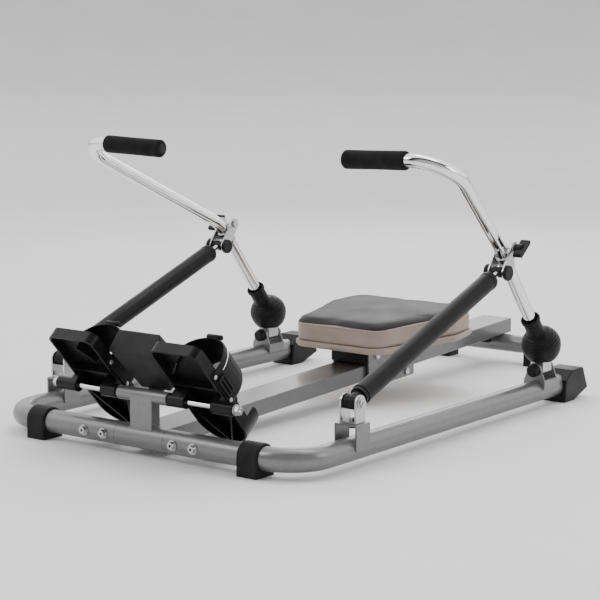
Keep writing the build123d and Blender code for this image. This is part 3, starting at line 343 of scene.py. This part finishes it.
def square_to(direction):
    """Two unit vectors square to a direction and to each other."""
    side = direction.orthogonal().normalized()
    return side, direction.cross(side).normalized()


def ring(centre, direction, radius, steps=48):
    """A circle of points round a centre."""
    a, b = square_to(direction.normalized())
    turn = 2 * math.pi / steps
    return [
        centre + radius * (math.cos(turn * i) * a + math.sin(turn * i) * b) for i in range(steps)
    ]


def turned(name, origin, direction, profile, mat, body, steps=64):
    """A turned shape: profile is (distance along the axis, radius) pairs."""
    direction = direction.normalized()
    rings = [ring(origin + direction * s, direction, max(r, 1e-5), steps) for s, r in profile]
    return loft(name, rings, mat, body)


def tube(name, path, radius, mat, body, closed=False, steps=10, ripple=0.0):
    """A round bead along a path, with an optional ripple like a weld's."""
    rings = []
    count = len(path)
    for i, point in enumerate(path):
        ahead = path[(i + 1) % count] if closed or i < count - 1 else point
        behind = path[i - 1] if closed or i > 0 else point
        along = (ahead - behind).normalized()
        side = along.cross(Z) if abs(along.z) < 0.9 else along.cross(X)
        side.normalize()
        up = side.cross(along).normalized()
        r = radius * (1 + ripple * math.sin(i * 2.4))
        turn = 2 * math.pi / steps
        rings.append(
            [
                point + r * (math.cos(turn * j) * side + math.sin(turn * j) * up)
                for j in range(steps)
            ]
        )
    return loft(name, rings, mat, body, closed=closed)


def slab(name, centre, axes, sizes, mat, body, bevel=0.0006):
    """A block with eased edges, along three given directions."""
    verts = []
    for i in (-1, 1):
        for j in (-1, 1):
            for k in (-1, 1):
                offset = axes[0] * i * sizes[0] + axes[1] * j * sizes[1] + axes[2] * k * sizes[2]
                verts.append(centre + offset / 2)
    faces = [(0, 1, 3, 2), (4, 6, 7, 5), (0, 4, 5, 1), (2, 3, 7, 6), (0, 2, 6, 4), (1, 5, 7, 3)]
    obj = piece(name, verts, faces, mat, body, smooth=False)
    ease(obj, bevel)
    return obj


def ease(obj, width, segments=2):
    """Round an object's edges a little."""
    mod = obj.modifiers.new("ease", "BEVEL")
    mod.width = width
    mod.segments = segments
    mod.limit_method = "ANGLE"


def join(name, objs):
    """Make several pieces of one body into one."""
    data = objs[0].data
    mesh = bmesh.new()
    graph = bpy.context.evaluated_depsgraph_get()
    for obj in objs:
        mesh.from_mesh(bpy.data.meshes.new_from_object(obj.evaluated_get(graph)))
    merged = bpy.data.meshes.new(name)
    mesh.to_mesh(merged)
    mesh.free()
    merged.materials.append(data.materials[0])
    keep = objs[0]
    keep.modifiers.clear()
    keep.data = merged
    keep.name = name
    for obj in objs[1:]:
        bpy.data.objects.remove(obj)
    return keep


def rounded(points, radius, steps=8):
    """A closed outline with every corner rounded by an arc."""
    out = []
    count = len(points)
    for i, corner in enumerate(points):
        to_last = (points[i - 1] - corner).normalized()
        to_next = (points[(i + 1) % count] - corner).normalized()
        half = to_last.angle(to_next) / 2
        inset = radius / math.tan(half)
        start, end = corner + to_last * inset, corner + to_next * inset
        centre = corner + (to_last + to_next).normalized() * (radius / math.sin(half))
        a, b = start - centre, end - centre
        for j in range(steps + 1):
            mix = a.lerp(b, j / steps)
            out.append(centre + mix.normalized() * radius)
    return out


# ---------------------------------------------------------------- seat
SEAT_LENGTH, SEAT_FRONT, SEAT_REAR = 0.300, 0.212, 0.325
SEAT_CORNER = 0.042
CUSHION = 0.052                      # thickness of the CAD cushion
SEAM_DROP = 0.011                    # seam below the top of the side
SEAM_DIP = 0.004                     # how much lower the seam runs at the front corners
TOP_INSET, TOP_EDGE, TOP_CROWN = 0.007, 0.046, 0.005    # unfilled top: inset, height, rise
SEAT_VOXEL = 0.005
SEAM_DIP_REACH = 0.06
SEAT_CAP = 0.005                     # how far the filling may push a point


def seat_origin():
    """Middle of the cushion's underside, on the seat plane."""
    low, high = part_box("seat_board")
    return (low + high) / 2 + RAIL_UP * 0.004


SEAT_AT = seat_origin()


def seat_point(across, back, up):
    """A point from distances across, along the rail and above the cushion's underside."""
    return SEAT_AT + X * across + RAIL * back + RAIL_UP * up


def seat_outline(shrink):
    """Seat outline in the seat plane: narrow in front, wide behind."""
    half, front, rear = SEAT_LENGTH / 2 - shrink, SEAT_FRONT / 2 - shrink, SEAT_REAR / 2 - shrink
    shoulder = half - SEAT_LENGTH * 0.3
    corners = [
        (-front, -half),
        (front, -half),
        (rear, shoulder),
        (rear - 0.014, half),
        (0.014 - rear, half),
        (-rear, shoulder),
    ]
    return rounded([Vector((a, b, 0)) for a, b in corners], SEAT_CORNER - shrink)


def seat_blank():
    """Closed block for the filling to swell, a little smaller than the finished seat."""
    rings = []
    side = ((0.005, 0.0008), (0.002, 0.003), (0.002, 0.012), (0.002, 0.038))
    for shrink, up in (*side, (TOP_INSET, TOP_EDGE)):
        rings.append([seat_point(p.x, p.y, up) for p in seat_outline(shrink)])
    for k in range(1, 6):
        grow = 1 - k / 6
        up = TOP_EDGE + TOP_CROWN * (1 - grow)
        rings.append([seat_point(p.x * grow, p.y * grow, up) for p in seat_outline(TOP_INSET)])
    return loft("seat_cover", rings, VINYL, None)


def fill_cushion(obj):
    """Swell the cover with cloth simulation, then hold it on its board."""
    scene = bpy.context.scene
    remesh = obj.modifiers.new("remesh", "REMESH")
    remesh.mode = "VOXEL"
    remesh.voxel_size = SEAT_VOXEL
    apply_modifiers(obj)
    start = [v.co.copy() for v in obj.data.vertices]
    cloth = obj.modifiers.new("cloth", "CLOTH")
    cloth.settings.use_pressure = True
    cloth.settings.uniform_pressure_force = 4
    cloth.settings.effector_weights.gravity = 0
    cloth.settings.quality = 6
    cloth.point_cache.frame_start = 1
    cloth.point_cache.frame_end = 20
    for step in range(1, 21):
        scene.frame_set(step)
    apply_modifiers(obj)
    scene.frame_set(1)
    for vert, before in zip(obj.data.vertices, start):
        move = vert.co - before
        if move.length > SEAT_CAP:
            move = move.normalized() * SEAT_CAP
        vert.co = before + move
        below = 0.0006 - (vert.co - SEAT_AT).dot(RAIL_UP)
        if below > 0:
            vert.co += RAIL_UP * below


def apply_modifiers(obj):
    """Replace a mesh by its evaluated self."""
    graph = bpy.context.evaluated_depsgraph_get()
    graph.update()
    done = bpy.data.meshes.new_from_object(obj.evaluated_get(graph))
    obj.modifiers.clear()
    old = obj.data
    obj.data = done
    bpy.data.meshes.remove(old)


def seam_height(p):
    """Height of the seam above the underside: it dips at the front corners."""
    near_front = math.exp(-(((p.y + SEAT_LENGTH / 2) / SEAM_DIP_REACH) ** 2))
    near_side = min(1.0, abs(p.x) / (SEAT_FRONT / 2))
    return CUSHION - SEAM_DROP - SEAM_DIP * (near_front * near_side)


def make_seat():
    """Padded two-tone seat with piping along its seam."""
    cover = seat_blank()
    fill_cushion(cover)
    relax = cover.modifiers.new("relax", "SMOOTH")
    relax.factor, relax.iterations = 0.5, 8
    smooth = cover.modifiers.new("smooth", "SUBSURF")
    smooth.levels = smooth.render_levels = 1
    apply_modifiers(cover)
    for face in cover.data.polygons:
        face.use_smooth = True
    tree = BVHTree.FromObject(cover, bpy.context.evaluated_depsgraph_get())
    path = []
    for p in seat_outline(0.0):
        out = Vector((p.x, p.y, 0)).normalized()
        start = seat_point(p.x + out.x * 0.05, p.y + out.y * 0.05, seam_height(p))
        aim = (X * out.x + RAIL * out.y) * -1
        hit = tree.ray_cast(start, aim)[0]
        if hit:
            path.append(hit)
    panel = cover.data.attributes.new("panel", "FLOAT", "POINT")
    for vert, value in zip(cover.data.vertices, panel.data):
        rel = vert.co - SEAT_AT
        flat = Vector((rel.x, rel.dot(RAIL), 0))
        value.value = rel.dot(RAIL_UP) - seam_height(flat)
    cover.data.materials.clear()
    cover.data.materials.append(VINYL)
    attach(cover, "seat")
    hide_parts("seat_cushion")
    tube("seat_piping", path, 0.0013, PIPING, "seat", closed=True)
    wrap_board()


def wrap_board():
    """The vinyl's hem: it runs down the board's edge and is folded in under it."""
    section = (
        (0.0050, 0.0035),
        (0.0022, 0.0012),
        (0.0020, -0.004),
        (0.0050, -0.0085),
        (0.0100, -0.0095),
        (0.0300, -0.0095),
        (0.0300, -0.0083),
        (0.0112, -0.0083),
        (0.0112, -0.0004),
        (0.0060, 0.004),
    )
    rings = []
    for shrink, up in section:
        rings.append([seat_point(p.x, p.y, up) for p in seat_outline(shrink)])
    hem = loft("seat_hem", rings, VINYL, "seat", closed=True)
    panel = hem.data.attributes.new("panel", "FLOAT", "POINT")
    for value in panel.data:
        value.value = -1


# ---------------------------------------------------------------- boots
BOOT_R, BOOT_NECK, BOOT_TOP = 0.0385, 0.0170, 0.074
BOOT_MOUTH = 0.0225                  # radius of the open lower edge
BOOT_WALL = 0.0022


def boot_profile(part):
    """(distance from the pivot, radius, ripple share) for a share of the boot's length."""
    low = -math.sqrt(BOOT_R**2 - BOOT_MOUTH**2)
    neck_joint = math.sqrt(BOOT_R**2 - BOOT_NECK**2)
    reach = low + (BOOT_TOP - low) * part
    if reach < neck_joint:
        radius = math.sqrt(BOOT_R**2 - reach**2)
        ripple = min(1.0, max(0.12, (reach + 0.012) / 0.02))
    else:
        radius = BOOT_NECK
        ripple = 0.35
        lip = (reach - (BOOT_TOP - 0.008)) / 0.008
        if lip > 0:
            radius += 0.0026 * math.sin(math.pi * min(1.0, lip * 0.8))
    return reach, radius, ripple


def make_boot(side):
    """Ribbed bellows that bends between the yoke and the oar."""
    pivot = joint_at(f"oar_{side}_pull")
    outer, inner = [], []
    steps, ribs = 200, 19
    for i in range(steps + 1):
        part = i / steps
        reach, radius, ripple = boot_profile(part)
        normal = Z.lerp(OAR, min(1.0, part / 0.62)).normalized()
        wave = 0.0011 * ripple * (0.5 + 0.5 * math.cos(2 * math.pi * ribs * part)) ** 1.4
        outer.append(ring(pivot + normal * reach, normal, radius + wave - 0.0004, 72))
        inner.append(ring(pivot + normal * reach, normal, radius - BOOT_WALL, 72))
    rings = outer + list(reversed(inner))
    boot = loft(f"boot_bellows_{side}", rings, BOOT, None, closed=True)
    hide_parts(f"boot_{side}")
    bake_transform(boot)


# ---------------------------------------------------------------- oars and cylinders
GRIP_R = 0.0170
GRIP_EASE = 0.007                    # length of each rounded end
GRIP_WAIST = 0.0003                  # how much the middle is worn in


def make_grip(side, sign):
    """Foam grip with eased ends and a plug in the open end."""
    low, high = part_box(f"grip_{side}")
    drop, back = 0.007, 0.010
    span = abs(high.x - low.x)
    mid = (low + high) / 2
    run = Vector((sign * 0.224, -back, drop)).normalized()
    half = span / 2 / abs(run.x) - GRIP_R * math.hypot(run.y, run.z) / abs(run.x)
    profile = [
        (-half, 0.0100),
        (-half, 0.0135),
        (-half + 0.0008, 0.0152),
        (-half + 0.0030, 0.0168),
        (-half + GRIP_EASE, GRIP_R),
    ]
    for i in range(1, 24):
        share = i / 24
        run_at = -half + GRIP_EASE + share * (2 * half - 2 * GRIP_EASE)
        profile.append((run_at, GRIP_R - GRIP_WAIST * math.sin(math.pi * share)))
    profile += [
        (half - GRIP_EASE, GRIP_R),
        (half - 0.003, 0.0167),
        (half - 0.0008, 0.0150),
        (half, 0.0130),
        (half, 0.0121),
    ]
    grip = turned(f"foam_grip_{side}", mid, run, profile, FOAM, f"oar_{side}")
    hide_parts(f"grip_{side}")
    plug = [
        (-half - 0.0006, 0.0),
        (-half - 0.0006, 0.0085),
        (-half, 0.0095),
        (-half + 0.004, 0.0098),
    ]
    turned(f"grip_plug_{side}", mid, run, plug, BLACK, f"oar_{side}", 40)


def make_cylinder_trim(side, sign):
    """Bands near both ends of the sleeve, ribs on the foot block and the pin's washer."""
    pin = joint_at(f"cylinder_{side}_tilt")
    axis = Vector(JOINTS[f"rod_{side}_slide"]["axis"]).normalized()
    body = f"cylinder_{side}"
    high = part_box(f"cylinder_barrel_{side}")[1]
    top = (Vector((pin.x, high.y, high.z)) - pin).dot(axis) - 0.0155
    collar = [(0.0272, 0.0178), (0.0278, 0.0184), (0.0300, 0.0184), (0.0306, 0.0178)]
    turned(f"barrel_band_{side}", pin, axis, collar, BLACK, body)
    upper = [
        (top - 0.0060, 0.0177),
        (top - 0.0052, 0.0183),
        (top - 0.0022, 0.0183),
        (top - 0.0014, 0.0177),
    ]
    turned(f"barrel_rim_{side}", pin, axis, upper, BLACK, body)
    ribs = []
    for i in range(6):
        at = pin + X * (-0.0115 + i * 0.0046)
        shape = [(-0.0008, 0.0118), (-0.0005, 0.0126), (0.0005, 0.0126), (0.0008, 0.0118)]
        ribs.append(turned(f"rib_{i}", at, X, shape, BLACK, None, 40))
    ribbed = join(f"foot_ribs_{side}", ribs)
    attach(ribbed, body)
    washer = [(-0.0006, 0.0092), (0.0, 0.0100), (0.0008, 0.0100), (0.0014, 0.0092)]
    outside = pin + X * sign * 0.0174
    clevis = f"swivel_clevis_{side}"
    turned(f"clevis_washer_{side}", outside, X * sign, washer, ZINC, clevis, 40)


def make_clamp_trim(side, sign):
    """Dished faces on the clamp caps and a washer under the wing knob."""
    low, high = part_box(f"clamp_caps_{side}")
    mid = (low + high) / 2
    for end, out in (("out", sign), ("in", -sign)):
        face = Vector((mid.x + out * (high.x - low.x) / 2, mid.y, mid.z))
        dish = [
            (-0.0012, 0.0128),
            (-0.0002, 0.0120),
            (0.0, 0.0112),
            (-0.0008, 0.0098),
            (-0.0008, 0.0),
        ]
        name = f"cap_ring_{end}_{side}"
        turned(name, face, X * out, dish, BLACK, f"oar_{side}", 48)
    bolt = joint_at(f"wing_knob_{side}_turn")
    shape = [(-0.0062, 0.0075), (-0.0062, 0.0098), (-0.0052, 0.0100), (-0.0052, 0.0075)]
    turned(f"knob_washer_{side}", bolt, X * sign, shape, ZINC, f"oar_{side}", 40)


# ---------------------------------------------------------------- pedals
PEDAL_WIDTH = 0.104
SOLE_TOP = 0.036                     # axle to the top of the footplate
HEEL_CUP = 0.022                     # height of the heel cup above it
STRAP_U, STRAP_WIDTH, STRAP_THICK = 0.020, 0.076, 0.003
STRAP_FROM, STRAP_TOP = 0.019, 0.106
LEG_SHARE = 0.14                     # share of the strap's run in each straight end
WIRE_LIFT = 0.0035                   # wire bail above the strap's inner face


def pedal_frame(side):
    """Point of a pedal from (toe, across, out of the sole) distances."""
    axle = joint_at(f"pedal_{side}_tilt")

    def at(toe, across, up):
        return axle + TOE * toe + X * across + SOLE * up

    return at


def arch_angle(share):
    """Angle round the strap's elliptic part, from pi on the -X side to 0 on the +X side."""
    return math.pi * (1 - (share - LEG_SHARE) / (1 - 2 * LEG_SHARE))


def arch(share):
    """(across, up) on the strap's inner face: straight ends, elliptic top."""
    half, leg = PEDAL_WIDTH / 2 + 0.00002, 0.026
    rise = STRAP_TOP - STRAP_FROM - leg - STRAP_THICK
    if share < LEG_SHARE:
        return -half, STRAP_FROM + leg * share / LEG_SHARE
    if share > 1 - LEG_SHARE:
        return half, STRAP_FROM + leg * (1 - share) / LEG_SHARE
    angle = arch_angle(share)
    return half * math.cos(angle), STRAP_FROM + leg + rise * math.sin(angle)


def make_strap(side):
    """Moulded strap: wide at its feet, waisted over the instep, with raised ribs."""
    at = pedal_frame(side)
    rings = []
    steps, cols = 120, 18
    for i in range(steps + 1):
        share = i / steps
        across, up = arch(share)
        ahead = arch(min(1.0, share + 0.002))
        behind = arch(max(0.0, share - 0.002))
        run = Vector((ahead[0] - behind[0], ahead[1] - behind[1]))
        out = Vector((-run.y, run.x)).normalized()
        waist = math.exp(-(((share - 0.5) / 0.17) ** 2))
        half = STRAP_WIDTH / 2 * (1 - 0.20 * waist)
        section_out, section_in = [], []
        for j in range(cols + 1):
            w = -1 + 2 * j / cols
            raised = 0.0
            if 0.2 < share < 0.8 and abs(w) < 0.78:
                raised = 0.0006 * max(0.0, math.cos(i * 2 * math.pi / 8)) ** 2
            rim = 0.0005 if abs(w) > 0.86 else 0.0
            edge = 1 - 0.35 * max(0.0, abs(w) - 0.94) / 0.06
            thick = (STRAP_THICK - 0.0008) * edge + raised + rim * edge
            toe = STRAP_U + w * half
            section_out.append(at(toe, across + out.x * thick, up + out.y * thick))
            section_in.append(at(toe, across + out.x * 0.0001, up + out.y * 0.0001))
        rings.append(section_out + list(reversed(section_in)))
    strap = loft(f"strap_band_{side}", rings, STRAP, f"pedal_{side}")
    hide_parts(f"foot_strap_{side}")


def make_pedal_trim(side):
    """Tread bars, heel rim, rivets, rolled strap end and wire bail on a pedal."""
    at = pedal_frame(side)
    body = f"pedal_{side}"
    bars = []
    axes = (TOE, X, SOLE)
    for i in range(15):
        toe = -0.094 + i * 0.0138
        width = PEDAL_WIDTH - 0.022
        if toe < -0.075:
            width = 0.060
        centre = at(toe, 0, SOLE_TOP + 0.0006)
        sizes = (0.0046, width, 0.0020)
        bars.append(slab(f"bar_{i}", centre, axes, sizes, PEDAL, None, 0.0007))
    tread = join(f"tread_{side}", bars)
    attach(tread, body)
    half = PEDAL_WIDTH / 2 - 0.002
    heel = half + 0.002 - 0.128
    rim = []
    for i in range(41):
        angle = math.pi / 2 + math.pi * i / 40
        rim.append(at(heel + half * math.cos(angle), half * math.sin(angle), SOLE_TOP + HEEL_CUP))
    tube(f"heel_rim_{side}", rim, 0.0024, PEDAL, body, steps=14)
    rivets = []
    for edge in (-1, 1):
        for toe in (-0.010, 0.050):
            where = at(toe, edge * (PEDAL_WIDTH / 2 + STRAP_THICK - 0.0008), STRAP_FROM + 0.006)
            shape = [(0.0, 0.0042), (0.0008, 0.0040), (0.0015, 0.0028), (0.0018, 0.0)]
            rivets.append(turned("rivet", where, X * edge, shape, ZINC, None, 24))
    spine = arch(0.5)[1] + STRAP_THICK
    roll_at = STRAP_U + STRAP_WIDTH * 0.40 - 0.003
    roll = [
        (-0.016, 0.0),
        (-0.016, 0.0038),
        (-0.0145, 0.0048),
        (0.0145, 0.0048),
        (0.016, 0.0038),
        (0.016, 0.0),
    ]
    turned(f"strap_roll_{side}", at(roll_at, 0, spine + 0.0030), X, roll, STRAP, body, 28)
    wire = []
    for i in range(25):
        share = 0.5 + (0.5 - LEG_SHARE) * i / 24
        across, up = arch(share)
        angle = arch_angle(min(share, 1 - LEG_SHARE))
        across += WIRE_LIFT * math.cos(angle)
        up += WIRE_LIFT * math.sin(angle)
        wire.append(at(roll_at - 0.001, across, up))
    tube(f"strap_wire_{side}", wire, 0.0010, CHROME, body, steps=10)
    riveted = join(f"strap_rivets_{side}", rivets)
    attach(riveted, body)


# ---------------------------------------------------------------- frame fittings
def weld(name, path, body, radius=0.0016, closed=False):
    """A painted weld bead."""
    tube(name, path, radius, PAINT, body, closed=closed, steps=8, ripple=0.18)


def saddle_path(centre, half_x, half_y, tube_z, tube_r, steps=22):
    """Rectangle projected down on a tube that runs along X."""
    corners = [(-half_x, -half_y), (half_x, -half_y), (half_x, half_y), (-half_x, half_y)]
    path = []
    for i, (ax, ay) in enumerate(corners):
        bx, by = corners[(i + 1) % 4]
        for k in range(steps):
            t = k / steps
            px, py = ax + (bx - ax) * t, ay + (by - ay) * t
            pz = tube_z + math.sqrt(max(tube_r**2 - py**2, 0))
            path.append(Vector((centre.x + px, centre.y + py, pz)))
    return path


TUBE_R, TUBE_Z = 0.021, 0.032


def make_frame_trim():
    """Weld beads, crossbar seams and thin black discs of painted shade for the hex sockets of the crossbar bolts.
    """
    axle = middle("pedal_axle")
    weld("weld_post", saddle_path(axle, 0.0252, 0.0127, TUBE_Z, TUBE_R), "frame", closed=True)
    for end, sign in (("a", -1), ("b", 1)):
        centre = Vector((sign * 0.057, axle.y, axle.z))
        path = ring(centre - X * sign * 0.0006, X, 0.0118, 72)
        weld(f"weld_sleeve_{end}", path, "frame", 0.0006, True)
    rail_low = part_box("seat_rail")[0]
    top = rail_low.z + 0.031
    for end, sign in (("a", -1), ("b", 1)):
        path = []
        for k in range(26):
            z = rail_low.z + 0.002 + (0.028) * k / 25
            y = axle.y + math.sqrt(max(TUBE_R**2 - (z - TUBE_Z) ** 2, 0.013**2)) + 0.0002
            path.append(Vector((sign * 0.0365, y, z)))
        weld(f"weld_rail_{end}", path, "frame")
    path = [Vector((-0.035 + 0.07 * k / 40, axle.y + 0.0158, top + 0.0003)) for k in range(41)]
    weld("weld_rail_top", path, "frame")
    # each bolt's hex socket is a thin black disc on the head, not a hole: painted shade for the recess
    socket_shade_discs = []
    for sign in (-1, 1):
        for x in (0.080, 0.126):
            head = Vector((sign * x, axle.y - TUBE_R - 0.0071, TUBE_Z))
            shape = [(-0.0004, 0.0), (-0.0004, 0.0026), (0.0003, 0.0026), (0.0003, 0.0)]
            socket_shade_discs.append(turned("hex_shade", head, -Y, shape, BLACK, None, 6))
    sockets = join("bolt_socket_shade", socket_shade_discs)
    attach(sockets, "frame")
    seams = []
    for sign in (-1, 1):
        centre = Vector((sign * 0.056, axle.y, TUBE_Z))
        path = ring(centre, X, TUBE_R - 0.00005, 72)
        seams.append(tube("seam", path, 0.0003, BLACK, None, True, 6))
    seam = join("bar_seams", seams)
    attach(seam, "frame")


MARK_T = 0.0003                      # thickness of the display's marks


def make_console():
    """Bezel and a plain segment display on the console's face."""
    low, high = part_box("console_screen")
    mid = (low + high) / 2
    down = Vector((0, 0.064, -0.090)).normalized()
    out = Vector((0, 0.090, 0.064)).normalized()
    face = mid + out * 0.0008
    corners = [(-0.0345, -0.0215), (0.0345, -0.0215), (0.0345, 0.0215), (-0.0345, 0.0215)]
    outline = rounded([Vector((a, b, 0)) for a, b in corners], 0.004, 6)
    path = [face + X * p.x + down * p.y for p in outline]
    tube("console_bezel", path, 0.0010, CONSOLE, "frame", closed=True)
    marks = []

    def bar(a, b, wide, tall):
        place = face + X * a + down * b + out * MARK_T / 2
        sizes = (wide, tall, MARK_T)
        marks.append(slab("mark", place, (X, down, out), sizes, DIGITS, None, 0.00008))

    for digit in range(4):
        at_x = 0.019 - digit * 0.0115 - (0.004 if digit > 1 else 0)
        for row in (-1, 0, 1):
            bar(at_x, row * 0.0072, 0.0052, 0.0012)
        for side in (-1, 1):
            for row in (-0.5, 0.5):
                bar(at_x + side * 0.0034, row * 0.0072, 0.0012, 0.0052)
    for dot in (-0.0025, 0.0025):
        bar(-0.0001, dot, 0.0014, 0.0014)
    bar(0, 0.0130, 0.056, 0.0006)
    display = join("display_marks", marks)
    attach(display, "frame")


# ---------------------------------------------------------------- stage, light and camera
CAMERA_AZIMUTH = math.radians(37.0)
SURROUND = 1.7                       # strength of the white surround
COVE_R = 4.0                         # bend where the floor sheet turns up, far away


def surround():
    """White surround with a dark band on the camera's side, for contrast in bright metal."""
    world = bpy.data.worlds.new("studio")
    bpy.context.scene.world = world
    world.use_nodes = True
    tree = world.node_tree
    where = tree.nodes.new("ShaderNodeTexCoord")
    facing = tree.nodes.new("ShaderNodeVectorMath")
    facing.operation = "DOT_PRODUCT"
    facing.inputs[1].default_value = (math.sin(CAMERA_AZIMUTH), -math.cos(CAMERA_AZIMUTH), 0.1)
    tones = tree.nodes.new("ShaderNodeValToRGB")
    ends = tones.color_ramp.elements
    ends[0].position, ends[0].color = 0.16, (1, 1, 1, 1)
    ends[1].position, ends[1].color = 0.72, (0.30, 0.30, 0.30, 1)
    for place in (0.34, 0.56):
        tones.color_ramp.elements.new(place).color = (0.03, 0.03, 0.03, 1)
    tree.links.new(where.outputs["Generated"], facing.inputs[0])
    tree.links.new(facing.outputs["Value"], tones.inputs["Fac"])
    tree.links.new(tones.outputs["Color"], tree.nodes["Background"].inputs["Color"])
    tree.nodes["Background"].inputs["Strength"].default_value = SURROUND


def stage_and_light():
    """Pale floor, soft lights and a bright surround."""
    sheet = finish_of("floor", (0.93, 0.93, 0.93), 0.8, specular=0.2)
    mottle(sheet, 3, (0.92, 0.92, 0.92), (0.95, 0.95, 0.95))
    rings = [ring(Vector(), Z, r, 96) for r in (1e-7, 3, 6, 9, 12)]
    for step in range(1, 13):
        bend = math.radians(70 * step / 12)
        rings.append(ring(Z * COVE_R * (1 - math.cos(bend)), Z, 12 + COVE_R * math.sin(bend), 96))
    floor = loft("floor", rings, sheet, None, caps=False)
    floor.location.z = CAD_BOX[0].z - 0.0002
    surround()
    for name, place, aim, power, width, height in (
        ("key", (-1.6, -2.2, 2.6), (0, 0, 0.2), 26, 1.2, 1.2),
        ("fill", (2.8, 0.4, 1.6), (0, 0, 0.2), 16, 1.0, 1.4),
        ("top", (0.2, 0.6, 3.0), (0, 0.1, 0.1), 24, 2.4, 0.8),
        ("back", (-1.5, 2.6, 1.6), (0, 0, 0.3), 14, 1.2, 1.2),
    ):
        light = bpy.data.lights.new(name, "AREA")
        light.shape = "RECTANGLE"
        light.energy = power
        light.size, light.size_y = width, height
        obj = bpy.data.objects.new(name, light)
        obj.location = place
        obj.rotation_mode = "QUATERNION"
        obj.rotation_quaternion = (Vector(aim) - Vector(place)).to_track_quat("-Z", "Y")
        bpy.context.scene.collection.objects.link(obj)


CAMERA_RISE = math.radians(8.65)
CAMERA_LENS = 114.7
CAMERA_AT = Vector((2.176, -2.9935, 0.7693))


def place_camera():
    """Camera at the angle that the machine is usually shown from."""
    data = bpy.data.cameras.new("camera")
    data.sensor_width = 36
    data.lens = CAMERA_LENS
    camera = bpy.data.objects.new("camera", data)
    bpy.context.scene.collection.objects.link(camera)
    back = Vector(
        (
            math.sin(CAMERA_AZIMUTH) * math.cos(CAMERA_RISE),
            -math.cos(CAMERA_AZIMUTH) * math.cos(CAMERA_RISE),
            math.sin(CAMERA_RISE),
        )
    )
    camera.rotation_mode = "QUATERNION"
    camera.rotation_quaternion = (-back).to_track_quat("-Z", "Y")
    camera.location = CAMERA_AT
    data.clip_start, data.clip_end = 0.05, 100
    bpy.context.scene.camera = camera


# ---------------------------------------------------------------- build it all
make_seat()
for side_name, side_sign in SIDES:
    make_boot(side_name)
    make_grip(side_name, side_sign)
    make_cylinder_trim(side_name, side_sign)
    make_clamp_trim(side_name, side_sign)
    make_strap(side_name)
    make_pedal_trim(side_name)
make_frame_trim()
make_console()
stage_and_light()
place_camera()
